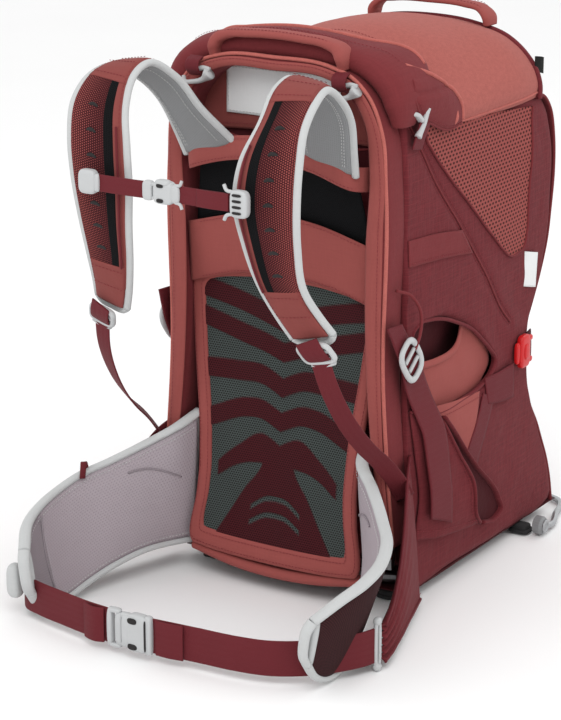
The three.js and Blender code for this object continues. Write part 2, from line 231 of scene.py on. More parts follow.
def between(inner, outer, depth, half, power=3.0, count=20):
    """A padded tube that fills from an inner line to an outer one: at each station a superellipse whose
    first half size is half their distance and whose second is half, along depth."""
    inner, outer = np.asarray(inner, float), np.asarray(outer, float)
    half = np.broadcast_to(np.asarray(half, float), (len(inner),))
    ring = oval(1, 1, count, power)
    middle, reach = (inner + outer) / 2, (outer - inner) / 2
    return (
        middle[:, None]
        + reach[:, None] * ring[None, :, :1]
        + np.asarray(depth, float) * half[:, None, None] * ring[None, :, 1:]
    )


def round_block(lo, hi, power=5.0, rows=14, count=24):
    """A block with rounded edges: a superellipsoid of that power between two corners."""
    lo, hi = np.asarray(lo, float), np.asarray(hi, float)
    lift = np.linspace(-math.pi / 2, math.pi / 2, rows + 2)[1:-1]
    c = np.cos(lift) ** (2 / power)
    s = np.sign(np.sin(lift)) * np.abs(np.sin(lift)) ** (2 / power)
    ring = oval(1, 1, count, power)
    unit_block = np.concatenate(
        [c[:, None, None] * ring[None], np.broadcast_to(s[:, None, None], (rows, count, 1))], axis=2
    )
    return (lo + hi) / 2 + unit_block * (hi - lo) / 2


def join(x, y, z):
    """Points from their three coordinates, each spread to the shape of the others."""
    return np.stack(np.broadcast_arrays(x, y, z), axis=-1)


def upright(flat, y):
    """A line of (x, z) stood up at a depth y, one for all or one for each point."""
    return join(flat[:, 0], y, flat[:, 1])


def mirror(points):
    """The same on the other side of the middle plane."""
    return np.asarray(points, float) * [-1.0, 1.0, 1.0]


def handed(grid, side):
    """The right hand grid, or its mirror image."""
    return mirror(grid) if side < 0 else grid


def whole_arch(half):
    """Half an arch from its foot to the middle, followed by its mirror image."""
    half = [tuple(p) for p in half]
    return half + [(-p[0],) + p[1:] for p in half[:-1]][::-1]


def folds(u, v, seed, shortest=55.0, longest=190.0, waves=7):
    """Slack in cloth, from -1 to 1: a sum of sines of several lengths and directions."""
    rng = np.random.default_rng(seed)
    total = np.zeros(np.broadcast(u, v).shape)
    for _ in range(waves):
        turn, shift = rng.uniform(0, math.pi), rng.uniform(0, 2 * math.pi)
        length = rng.uniform(shortest, longest)
        total += np.sin((u * math.cos(turn) + v * math.sin(turn)) * 2 * math.pi / length + shift)
    return total / waves


def bump_line(distance, width):
    """One on a line, falling away to nought over the width."""
    return np.exp(-((distance / width) ** 2))


def to_line(y, z, line):
    """Distance from points to a polyline in the side plane."""
    p = np.stack([y, z], axis=-1)[..., None, :]
    a, b = np.asarray(line[:-1], float), np.asarray(line[1:], float)
    d = b - a
    t = np.clip(((p - a) * d).sum(-1) / (d * d).sum(-1), 0, 1)
    return np.linalg.norm(p - (a + t[..., None] * d), axis=-1).min(-1)


# ---- meshes ----------------------------------------------------------------------------------
def place(points):
    """Millimetres of the pack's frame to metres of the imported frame."""
    return np.asarray(points, float) * MM + PACK_ORIGIN


def grid_parts(grid, wrap_u, wrap_v, caps, plane):
    """Vertices, quads, triangles and the UV of each face corner of one grid. The UV is in metres: the
    distances along the grid, or the two axes that plane names."""
    nu, nv = grid.shape[:2]
    iu = np.arange(nu if wrap_u else nu - 1)
    iv = np.arange(nv if wrap_v else nv - 1)
    a, b = np.meshgrid(iu, iv, indexing="ij")
    a1, b1 = (a + 1) % nu, (b + 1) % nv
    quads = np.stack([a * nv + b, a1 * nv + b, a1 * nv + b1, a * nv + b1], axis=-1).reshape(-1, 4)
    co = grid.reshape(-1, 3)
    along = np.linalg.norm(np.diff(np.concatenate([grid, grid[:1]]), axis=0), axis=2).mean(1)
    across = np.linalg.norm(np.diff(np.concatenate([grid, grid[:, :1]], axis=1), axis=1), axis=2).mean(0)
    lu = np.concatenate([[0.0], np.cumsum(along)]) * MM
    lv = np.concatenate([[0.0], np.cumsum(across)]) * MM
    if plane is None:
        uv = np.stack(
            [np.stack([lu[a + da], lv[b + db]], axis=-1) for da, db in ((0, 0), (1, 0), (1, 1), (0, 1))],
            axis=2,
        ).reshape(-1, 2)
    else:
        axes = ["xyz".index(letter) for letter in plane]
        uv = co[quads.ravel()][:, axes] * MM
    tris = np.zeros((0, 3), int)
    if caps:
        ring = np.arange(nv)
        after = (ring + 1) % nv
        n = len(co)
        co = np.vstack([co, grid[0].mean(0), grid[-1].mean(0)])
        top = (nu - 1) * nv
        first = np.stack([ring, after, np.full(nv, n)], axis=1)
        last = np.stack([top + after, top + ring, np.full(nv, n + 1)], axis=1)
        tris = np.vstack([first, last])
        flat = co @ np.array([[1.0, 0.3], [0.2, 0.4], [0.1, 1.0]]) * MM
        uv = np.vstack([uv, flat[tris.ravel()]])
    return co, quads, tris, uv


def make_mesh(name, grids, paint, wrap_u=False, wrap_v=False, caps=False, plane=None, outward=None):
    """One object from one grid or several. A closed one has its faces turned outward by its signed volume,
    an open one by the direction outward."""
    grids = grids if isinstance(grids, list) else [grids]
    co, faces, uvs = [], [], []
    start = 0
    for grid in grids:
        c, quads, tris, uv = grid_parts(np.asarray(grid, float), wrap_u, wrap_v, caps, plane)
        corners = quad_normals(c, quads)
        if outward is not None:
            turned = (corners * np.asarray(outward, float)).sum() < 0
        else:
            turned = signed_volume(c, quads, tris) < 0
        if turned:
            quads, tris = quads[:, ::-1], tris[:, ::-1]
            split = len(quads) * 4
            uv = np.vstack([
                uv[:split].reshape(-1, 4, 2)[:, ::-1].reshape(-1, 2),
                uv[split:].reshape(-1, 3, 2)[:, ::-1].reshape(-1, 2),
            ])
        co.append(c)
        faces += (quads + start).tolist() + (tris + start).tolist()
        uvs.append(uv)
        start += len(c)
    return mesh_object(name, np.vstack(co), faces, np.vstack(uvs), paint)


def mesh_object(name, co, faces, uv, paint):
    """A smooth-shaded object from vertices, faces and the UV of each face corner."""
    mesh = bpy.data.meshes.new(name)
    mesh.from_pydata(place(co).tolist(), [], faces)
    mesh.uv_layers.new(name="UVMap").data.foreach_set("uv", uv.astype(np.float32).ravel())
    mesh.shade_smooth()
    mesh.materials.append(PAINT[paint])
    obj = bpy.data.objects.new(name, mesh)
    bpy.context.scene.collection.objects.link(obj)
    return obj


def quad_normals(co, quads):
    """The normal of each quad, twice its area long."""
    p = co[quads]
    return np.cross(p[:, 2] - p[:, 0], p[:, 3] - p[:, 1])


def signed_volume(co, quads, tris):
    """Volume of the closed surface, negative when its faces point in."""
    split = np.vstack([quads[:, [0, 1, 2]], quads[:, [0, 2, 3]], tris])
    p = co[split] - co.mean(0)
    return (p[:, 0] * np.cross(p[:, 1], p[:, 2])).sum() / 6


def thicken(obj, thickness):
    """Gives a sheet its thickness with a Solidify modifier."""
    shell = obj.modifiers.new("thickness", "SOLIDIFY")
    shell.thickness = thickness
    shell.offset = -1.0
    shell.use_even_offset = False
    return obj


def settle(obj, body, replaces=()):
    """Rides the piece on its body and hides the plain solids it stands for."""
    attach(obj, body)
    if replaces:
        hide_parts(*replaces)
    return obj


def solid(name, grids, paint, replaces=(), body="carrier", side=1.0, wrap_u=False, plane=None):
    """A closed piece: rings joined along a path, capped at its ends or joined into a loop."""
    grids = [handed(grid, side) for grid in (grids if isinstance(grids, list) else [grids])]
    obj = make_mesh(name, grids, paint, wrap_u=wrap_u, wrap_v=True, caps=not wrap_u, plane=plane)
    return settle(obj, body, replaces)


def cloth(name, grid, paint, outward, replaces=(), body="carrier", slot=None, side=1.0, plane=None,
          thickness=None, held="stretched", on=("main_frame_tube",), flat=None, wrap_u=False):
    """An open sheet of cloth with a real thickness. The argument flat is not used."""
    grid = handed(grid, side)
    obj = make_mesh(name, grid, paint, wrap_u=wrap_u, plane=plane, outward=handed(outward, side))
    thicken(obj, thickness or sizes().cloth)
    settle(obj, body, replaces)
    return obj


def cord_grid(points, radius, count, across=SLANTED):
    """A round tube along a smooth line. Its rings turn about across, which isn't along the line."""
    return sweep(smooth(points, count), oval(radius, radius, 10), across)


def stitch_grids(path, normal, pitch=5.0, length=3.4, radius=0.42, lift=0.3):
    """A row of stitches along a line: many small rounded bars, each laid along the line's direction."""
    line = np.asarray(path, float)
    run = lengths(line)
    count = max(int(run[-1] / pitch), 2)
    at = (np.arange(count) + 0.5) * run[-1] / count
    centre = read_at(at, run, line)
    tangent = unit(read_at(at + 0.5, run, line) - read_at(at - 0.5, run, line))
    normal = np.broadcast_to(np.asarray(normal, float), (len(line), 3))
    up = unit(read_at(at, run, normal))
    side = np.cross(tangent, up)
    ring = oval(radius, radius, 4)
    ends = np.array([-0.5, -0.3, 0.3, 0.5]) * length
    fat = np.array([0.35, 1.0, 1.0, 0.35])
    return (
        centre[:, None, None]
        + tangent[:, None, None] * ends[None, :, None, None]
        + (side[:, None, None] * ring[None, None, :, :1] + up[:, None, None] * ring[None, None, :, 1:])
        * fat[None, :, None, None]
        + up[:, None, None] * lift
    )


def stitches(name, rows, paint="thread", body="carrier", side=1.0):
    """All the stitches of a piece as one mesh. Each row is (line, normal)."""
    pitch = sizes().stitch / MM
    bars = np.concatenate([stitch_grids(handed(line, side), handed(n, side), pitch) for line, n in rows])
    n, rings, sides = bars.shape[:3]
    per = rings * sides + 2
    tips = np.stack([bars[:, 0].mean(1), bars[:, -1].mean(1)], axis=1)
    co = np.concatenate([bars.reshape(n, -1, 3), tips], axis=1).reshape(-1, 3)
    sample, quads, tris, _ = grid_parts(bars[0], False, True, True, None)
    if signed_volume(sample, quads, tris) < 0:
        quads, tris = quads[:, ::-1], tris[:, ::-1]
    starts = (np.arange(n) * per)[:, None, None]
    quads, tris = quads[None] + starts, tris[None] + starts
    faces = quads.reshape(-1, 4).tolist() + tris.reshape(-1, 3).tolist()
    corners = np.concatenate([quads.ravel(), tris.ravel()])
    return settle(mesh_object(name, co, faces, co[corners][:, [0, 2]] * MM, paint), body)


# ---- finishes --------------------------------------------------------------------------------
class Finish:
    """A material and the few node calls that the finishes share."""

    def __init__(self, name, roughness, metallic=0.0, sheen=0.0, own_uv=True, shine=0.12):
        self.material = bpy.data.materials.new(name)
        self.material.use_nodes = True
        self.tree = self.material.node_tree
        self.shader = self.tree.nodes["Principled BSDF"]
        self.shader.inputs["Roughness"].default_value = roughness
        self.shader.inputs["Metallic"].default_value = metallic
        self.shader.inputs["Sheen Weight"].default_value = sheen
        self.shader.inputs["Sheen Roughness"].default_value = 0.5
        self.shader.inputs["Specular IOR Level"].default_value = shine
        source = self.add("ShaderNodeTexCoord")
        self.place = source.outputs["UV" if own_uv else "Object"]
        split = self.add("ShaderNodeSeparateXYZ", {"Vector": self.place})
        self.u, self.v, self.w = split.outputs[0], split.outputs[1], split.outputs[2]
        PAINT[name] = self.material

    def add(self, kind, inputs=None, **settings):
        """A node with its settings and inputs; an input may be a socket or a value."""
        node = self.tree.nodes.new(kind)
        for key, value in settings.items():
            setattr(node, key, value)
        for key, value in (inputs or {}).items():
            self.put(node.inputs[key], value)
        return node

    def put(self, socket, value):
        """Joins another socket to this one, or sets its value."""
        if isinstance(value, bpy.types.NodeSocket):
            self.tree.links.new(value, socket)
        else:
            socket.default_value = value

    def math(self, operation, a, b=0.0, clamp=False):
        """One arithmetic step on two sockets or numbers."""
        node = self.add("ShaderNodeMath", {0: a, 1: b}, operation=operation, use_clamp=clamp)
        return node.outputs[0]

    def noise(self, scale, detail=2.0, stretch=(1.0, 1.0, 1.0), rough=0.5):
        """Soft noise with so many cells a metre, stretched along the axes."""
        turn = self.add("ShaderNodeMapping", {"Vector": self.place, "Scale": stretch})
        node = self.add(
            "ShaderNodeTexNoise",
            {"Vector": turn.outputs[0], "Scale": scale, "Detail": detail, "Roughness": rough},
        )
        return node.outputs[0]

    def sine(self, value, pitch):
        """A wave from 0 to 1 of that pitch in metres."""
        turned = self.math("SINE", self.math("MULTIPLY", value, 2 * math.pi / pitch))
        return self.math("ADD", self.math("MULTIPLY", turned, 0.5), 0.5)

    def line(self, value, pitch, share):
        """One on a thin line that comes back each pitch, nought between."""
        near = self.math("PINGPONG", value, pitch / 2)
        return self.math("LESS_THAN", near, pitch * share / 2)

    def holes(self, pitch_u, pitch_v, small, soft):
        """One in the holes of a net whose rows are set half a step apart; small is a hole's radius as a
        share of the step and soft the width of its edge."""
        row = self.math("FLOOR", self.math("DIVIDE", self.v, pitch_v))
        shift = self.math("MULTIPLY", self.math("MODULO", row, 2.0), 0.5)
        across = self.math("ADD", self.math("DIVIDE", self.u, pitch_u), shift)
        du = self.math("SUBTRACT", self.math("FRACT", across), 0.5)
        dv = self.math("SUBTRACT", self.math("FRACT", self.math("DIVIDE", self.v, pitch_v)), 0.5)
        square = self.math("ADD", self.math("MULTIPLY", du, du), self.math("MULTIPLY", dv, dv))
        far = self.math("SQRT", square)
        edge = self.math("DIVIDE", self.math("SUBTRACT", far, small), soft, clamp=True)
        return self.math("SUBTRACT", 1.0, edge)

    def mix(self, share, a, b):
        """From colour a to colour b by the share."""
        node = self.add("ShaderNodeMix", data_type="RGBA")
        self.put(node.inputs[0], share)
        for socket, value in ((node.inputs[6], a), (node.inputs[7], b)):
            self.put(socket, value if isinstance(value, bpy.types.NodeSocket) else (*value, 1.0))
        return node.outputs[2]

    def colour(self, socket):
        """Sets the surface colour."""
        self.put(self.shader.inputs["Base Color"], socket)

    def bump(self, height, distance, strength=1.0, under=None):
        """A normal tilted by a height, on top of another normal if one is given."""
        node = self.add("ShaderNodeBump", {"Strength": strength, "Distance": distance, "Height": height})
        if under is not None:
            self.put(node.inputs["Normal"], under)
        return node.outputs[0]

    def relief(self, normal):
        """Sets the surface normal."""
        self.put(self.shader.inputs["Normal"], normal)


def tone(colour, by):
    """The colour made lighter or darker."""
    return tuple(min(c * by, 1.0) for c in colour)


def woven(name, colour, roughness=0.82, slub=0.16, grid=0.0, crease=0.0008):
    """Plain woven cloth: uneven threads both ways, a fine weave, slow colour drift and, on ripstop, a grid
    of heavier threads."""
    f = Finish(name, roughness, sheen=0.03)
    warp = f.noise(100.0, 3.0, (4.6, 0.30, 1.0), 0.65)
    weft = f.noise(100.0, 3.0, (0.30, 4.6, 1.0), 0.65)
    threads = f.math("MULTIPLY", f.math("ADD", warp, weft), 0.5)
    drift = f.noise(9.0, 3.0)
    base = f.mix(threads, tone(colour, 1 - 2.2 * slub), tone(colour, 1 + 2.2 * slub))
    base = f.mix(f.math("MULTIPLY", drift, 0.35), base, tone(colour, 0.78))
    weave = f.math("MULTIPLY", f.sine(f.u, 0.0011), f.sine(f.v, 0.0011))
    if grid:
        lines = f.math("MAXIMUM", f.line(f.u, grid, 0.12), f.line(f.v, grid, 0.12))
        base = f.mix(f.math("MULTIPLY", lines, 0.30), base, tone(colour, 1.35))
        weave = f.math("ADD", weave, lines)
    f.colour(base)
    creased = f.bump(f.noise(26.0, 4.0, rough=0.62), crease * 6, 0.55)
    f.relief(f.bump(weave, 0.00012, 0.5, creased))
    return f


def heathered(name, colour):
    """Brushed knit in two close tones, with a short nap."""
    f = Finish(name, 0.92, sheen=0.05)
    speck = f.noise(900.0, 2.0)
    patch = f.noise(160.0, 2.0)
    level = f.math("ADD", f.math("MULTIPLY", speck, 0.7), f.math("MULTIPLY", patch, 0.3))
    sharp = f.math("MULTIPLY", f.math("SUBTRACT", level, 0.36), 3.4, clamp=True)
    base = f.mix(sharp, tone(colour, 0.80), tone(colour, 1.16))
    f.colour(f.mix(f.math("MULTIPLY", f.noise(7.0, 2.0), 0.25), base, tone(colour, 0.82)))
    f.relief(f.bump(speck, 0.0004, 0.4))
    return f


def webbing(name, colour):
    """Flat woven strap: a herringbone of short slanted ribs over lengthwise cords."""
    f = Finish(name, 0.62, sheen=0.02)
    slant = f.math("ADD", f.u, f.math("PINGPONG", f.v, 0.004))
    rib = f.sine(slant, 0.0016)
    cords = f.sine(f.v, 0.0022)
    base = f.mix(rib, tone(colour, 0.82), tone(colour, 1.15))
    f.colour(f.mix(f.math("MULTIPLY", f.noise(40.0, 3.0), 0.35), base, tone(colour, 0.8)))
    f.relief(f.bump(f.math("ADD", rib, f.math("MULTIPLY", cords, 0.6)), 0.00025, 0.6))
    return f


def net(name, thread, hole, pitch_u, pitch_v):
    """Knitted net: threads round rows of holes, the holes painted one dark colour: what is behind them,
    darkened as painted shade.
    """
    f = Finish(name, 0.85)
    gap = f.holes(pitch_u, pitch_v, 0.24, 0.12)
    twist = f.noise(700.0, 1.0)
    cord = f.mix(twist, tone(thread, 0.8), tone(thread, 1.2))
    f.colour(f.mix(gap, cord, hole))
    f.relief(f.bump(f.math("SUBTRACT", 1.0, gap), 0.0005, 0.8))
    return f


def ribbed_net(name, thread, rib):
    """The back panel's net: grey over the air gaps and dark red where a foam rib presses on it. The
    vertex value rib_cover says where."""
    f = Finish(name, 0.8)
    cover = f.add("ShaderNodeAttribute", attribute_name="rib_cover").outputs["Fac"]
    gap = f.holes(0.0036, 0.0030, 0.30, 0.12)
    # The holes are painted dark: painted shade of the air gap behind the net, and darker foam as painted
    # shade over the ribs.
    open_net = f.mix(gap, tone(thread, 2.3), tone(thread, 0.28))
    over_foam = f.mix(gap, tone(rib, 1.5), tone(rib, 0.45))
    drift = f.noise(18.0, 2.0)
    base = f.mix(cover, open_net, over_foam)
    f.colour(f.mix(f.math("MULTIPLY", drift, 0.3), base, (0.02, 0.016, 0.016)))
    f.relief(f.bump(f.math("SUBTRACT", 1.0, gap), 0.0004, 0.6))
    return f


def strap_knit(name, thread, spot):
    """The straps' net: a dark knit with light spots that grow toward its outer edge."""
    f = Finish(name, 0.85)
    size = f.math("ADD", f.math("MULTIPLY", f.v, 5.6), 0.06)
    spots = f.holes(0.0030, 0.0026, size, 0.14)
    f.colour(f.mix(spots, f.mix(f.noise(600.0, 1.0), tone(thread, 0.7), tone(thread, 1.5)), spot))
    f.relief(f.bump(spots, 0.0004, 0.6))
    return f


def perforated(name, colour, pitch=0.0042):
    """Soft spacer mesh with small regular dimples."""
    f = Finish(name, 0.85, sheen=0.04)
    dimple = f.holes(pitch, pitch * 0.86, 0.14, 0.16)
    grain = f.noise(500.0, 2.0)
    base = f.mix(grain, tone(colour, 0.9), tone(colour, 1.08))
    # The dimples are painted darker: painted shade in the dimples.
    base = f.mix(f.math("MULTIPLY", dimple, 0.42), base, tone(colour, 0.45))
    f.colour(f.mix(f.math("MULTIPLY", f.noise(14.0, 3.0), 0.3), base, tone(colour, 0.8)))
    f.relief(f.bump(f.math("SUBTRACT", grain, dimple), 0.0006, 0.5))
    return f


def moulded(name, colour, roughness=0.42):
    """Injection moulded plastic with a light spark texture and faint handling marks."""
    f = Finish(name, roughness, own_uv=False, shine=0.4)
    grain = f.noise(1500.0, 2.0)
    marks = f.noise(60.0, 4.0)
    base = f.mix(f.math("MULTIPLY", marks, 0.4), tone(colour, 1.06), tone(colour, 0.82))
    f.colour(base)
    rough = f.math("ADD", f.math("MULTIPLY", marks, 0.18), roughness - 0.08)
    f.put(f.shader.inputs["Roughness"], rough)
    f.relief(f.bump(grain, 0.00012, 0.5))
    return f


def anodised(name):
    """Anodised aluminium tube, drawn lengthwise, with a satin break-up."""
    f = Finish(name, 0.36, metallic=1.0, own_uv=False)
    drawn = f.noise(220.0, 3.0, (1.0, 1.0, 0.08))
    f.colour(f.mix(drawn, (0.30, 0.31, 0.32), (0.52, 0.53, 0.54)))
    f.put(f.shader.inputs["Roughness"], f.math("ADD", f.math("MULTIPLY", drawn, 0.22), 0.24))
    f.relief(f.bump(drawn, 0.0001, 0.4))
    return f


def floor_finish(name):
    """Plain pale studio floor with the faintest mottle."""
    f = Finish(name, 0.9, own_uv=False)
    f.colour(f.mix(f.noise(2.0, 2.0), (0.93, 0.93, 0.93), (0.96, 0.96, 0.96)))
    return f


def make_finishes(c):
    """Every material of the object, from its colours."""
    woven("maroon_cloth", c.maroon, slub=0.36, grid=0.009, crease=0.0009)
    # Dark maroon finish: partly lining cloth, partly painted shade on recessed, inner and under surfaces.
    woven("lining_in_painted_shade", c.maroon_dark, slub=0.10)
    woven("collar_cloth", c.collar, slub=0.14, crease=0.0007)
    woven("coral_cloth", c.coral, slub=0.07, crease=0.0005)
    woven("coral_shade", tone(c.coral, 0.74), slub=0.07, crease=0.0005)
    woven("pale_binding", c.pale, roughness=0.75, slub=0.05, crease=0.0004)
    woven("label_cloth", (0.78, 0.79, 0.79), slub=0.03, crease=0.0003)
    woven("tag_cloth", (0.012, 0.013, 0.012), slub=0.05)
    heathered("heather_knit", c.heather)
    heathered("heather_binding", tone(c.heather, 1.22))
    webbing("maroon_webbing", c.webbing)
    webbing("dark_webbing", tone(c.webbing, 0.42))
    # The hole colours are painted shade: dark maroon behind the coral net, near-black behind the black and
    # wing nets.
    net("coral_net", tone(c.coral, 0.92), (0.055, 0.012, 0.012), 0.0086, 0.0052)
    strap_knit("strap_net", (0.040, 0.007, 0.009), tone(c.coral, 0.95))
    net("black_net", c.black, (0.001, 0.001, 0.001), 0.0026, 0.0022)
    net("wing_net", (0.05, 0.016, 0.018), (0.004, 0.003, 0.003), 0.0030, 0.0026)
    ribbed_net("back_net", c.net_grey, c.rib)
    perforated("lavender_mesh", c.lavender)
    perforated("strap_lining", c.lining, 0.0030)
    perforated("wing_patch", tone(c.lavender, 0.74), 0.0034)
    perforated("foam_skin", tone(c.rib, 1.1), 0.0036)
    moulded("pale_plastic", c.plastic)
    moulded("red_plastic", c.red, 0.35)
    moulded("hub_plastic", (0.22, 0.225, 0.23), 0.5)
    # Near-black: painted shade in the buckle hollows, slider slots, bar gap and strap vents, which hold only
    # shade; also the zip teeth's own dark plastic.
    moulded("hollow_shade_and_zip_teeth", (0.012, 0.010, 0.010), 0.7)
    moulded("foot_rubber", (0.018, 0.018, 0.019), 0.85)
    woven("thread", tone(c.maroon, 1.7), slub=0.05)
    woven("pale_thread", (0.60, 0.60, 0.60), slub=0.05)
    anodised("aluminium")
    floor_finish("studio_floor")


# ---- stage -----------------------------------------------------------------------------------
CAMERA_TURN = 32.31
CAMERA_RISE = 17.12
CAMERA_DISTANCE = 3283.0
CAMERA_AIM = (-55.0, 93.0, 282.0)
CAMERA_LENS = 123.85
FLOOR_REACH = 9000.0
LAMPS = (
    ("key_lamp", (900, -1700, 2300), (0, 0, 350), 1.5, 22.0),
    ("fill_lamp", (-2200, -900, 1300), (0, 0, 350), 1.8, 5.0),
    ("rim_lamp", (900, 2200, 2000), (0, 100, 350), 1.4, 8.0),
)


def area_light(name, position, aim, size, power):
    """A soft lamp that faces a point."""
    data = bpy.data.lights.new(name, "AREA")
    data.shape = "DISK"
    data.size = size
    data.energy = power
    lamp = bpy.data.objects.new(name, data)
    bpy.context.scene.collection.objects.link(lamp)
    lamp.location = place(position)
    point_at(lamp, np.subtract(aim, position))


def point_at(obj, direction):
    """Turns a lamp or camera so that it looks along the direction."""
    obj.rotation_mode = "QUATERNION"
    obj.rotation_quaternion = Vector(direction).to_track_quat("-Z", "Y")


def make_stage():
    """Pale floor, white surroundings, soft lamps and the camera."""
    scene = bpy.context.scene
    scene.view_settings.view_transform = "Standard"
    reach = np.linspace(-FLOOR_REACH, FLOOR_REACH, 13)
    gx, gy = np.meshgrid(reach, reach, indexing="ij")
    floor = make_mesh("studio_floor", join(gx, gy, -1.0), "studio_floor",
                      outward=Z_AXIS)
    world = bpy.data.worlds.new("studio")
    world.use_nodes = True
    world.node_tree.nodes["Background"].inputs[0].default_value = (1.0, 1.0, 1.0, 1.0)
    world.node_tree.nodes["Background"].inputs[1].default_value = 1.0
    scene.world = world
    for lamp in LAMPS:
        area_light(*lamp)
    data = bpy.data.cameras.new("camera")
    data.lens = CAMERA_LENS
    data.clip_end = 60.0
    camera = bpy.data.objects.new("camera", data)
    scene.collection.objects.link(camera)
    turn, rise = math.radians(CAMERA_TURN), math.radians(CAMERA_RISE)
    back = np.array([math.sin(turn) * math.cos(rise), -math.cos(turn) * math.cos(rise), math.sin(rise)])
    camera.location = place(np.array(CAMERA_AIM) + back * CAMERA_DISTANCE)
    point_at(camera, -back)
    scene.camera = camera


# ---- back panel ------------------------------------------------------------------------------
def panel_lean(z):
    """How far back the suspended panel leans at a height."""
    return (z - 70.0) * 0.1


PANEL_OUTER = [
    (112, 44), (128, 47), (131, 60), (123, 110), (120, 150), (123, 210), (134, 300), (142, 380), (143, 410),
    (132, 422), (70, 436),
]
PANEL_HOLE = [
    (100, 70), (108, 71), (109, 79), (103, 120), (101, 150), (104, 220), (115, 310), (121, 370), (122, 393),
    (116, 400), (60, 412),
]
BACK_FACE = -13.0


def ring_outline(half, count, corner=0.55):
    """A closed outline in the panel's plane from its right half, bottom to top."""
    left = [(-x, z) for x, z in half][::-1]
    flat = smooth(list(half) + left, count, closed=True, tight=corner)
    start = np.argmin(flat[:, 1] + np.abs(flat[:, 0] - half[0][0]) * 0.01)
    return np.roll(flat, -start, axis=0)


def by_angle(flat, centre, count):
    """A closed outline read at equal angles about a centre inside it."""
    d = flat - centre
    angle = np.arctan2(d[:, 1], d[:, 0])
    order = np.argsort(angle)
    angle, reach = angle[order], np.hypot(d[:, 0], d[:, 1])[order]
    turns = np.linspace(-math.pi, math.pi, count, endpoint=False)
    r = np.interp(turns, angle, reach, period=2 * math.pi)
    return centre + np.stack([np.cos(turns) * r, np.sin(turns) * r], axis=1)


RIB_HALF = 13.0
RIB_SOFT = 1.8
HALF_WIDTH = 110.0
RIB_LINES = (
    ((0, 360), (0.25, 370), (0.5, 379), (0.75, 386), (1.1, 394)),
    ((0, 321), (0.25, 331), (0.5, 338), (0.75, 346), (1.1, 357)),
    ((0, 274), (0.12, 281), (0.25, 287), (0.6, 288), (1.1, 286)),
    ((0, 229), (0.12, 235), (0.25, 241), (0.5, 241), (0.95, 224), (1.1, 218)),
)
ARM_TOP = ((0, 198), (0.12, 205), (0.25, 210), (0.6, 190), (0.85, 169), (1.0, 152))
ARM_LOW = ((0, 171), (0.25, 171), (0.5, 167), (0.7, 158), (0.85, 147), (1.0, 138))
TRUNK_HALF = ((62, 0.84), (95, 0.68), (135, 0.47), (165, 0.26), (190, 0.22))
SLOT_LINES = (((0, 127), (0.15, 125), (0.33, 113), (0.5, 98)),
              ((0, 105), (0.15, 103), (0.33, 92), (0.5, 78)))


def read_line(points, at):
    """The cubic through a short list of pairs, read at any number of places."""
    pairs = np.asarray(points, float)
    t, p = pairs[:, 0], pairs[:, 1:]
    flat = np.clip(np.ravel(at), t[0], t[-1])
    return cubic(t, p, np.gradient(p, t, axis=0), flat).reshape(np.shape(at))


def rib_cover(share, z):
    """Where foam lies behind the net, from 0 to 1, by the share of the half width and the height. Four
    bands lie within RIB_HALF of their middle lines; below them an hourglass has two arms and two slots."""
    u = np.abs(share)
    cover = np.zeros(np.shape(u))
    for line in RIB_LINES:
        cover = np.maximum(cover,
                           np.clip((RIB_HALF - np.abs(z - read_line(line, u))) / RIB_SOFT + 0.5, 0, 1))
    below, above = read_line(ARM_TOP, u) - z, z - read_line(ARM_LOW, u)
    arm = np.clip(np.minimum(np.minimum(below, above), (0.90 - u) * HALF_WIDTH) / RIB_SOFT + 0.5, 0, 1)
    trunk = np.clip((read_line(TRUNK_HALF, z) - u) * HALF_WIDTH / RIB_SOFT + 0.5, 0, 1) * (z < 190)
    cover = np.maximum(cover, np.maximum(arm, trunk))
    for line in SLOT_LINES:
        near = np.minimum(3.3 - np.abs(z - read_line(line, u)), (0.36 - u) * HALF_WIDTH)
        cover = np.minimum(cover, 1 - np.clip(near / 1.4 + 0.5, 0, 1))
    return cover


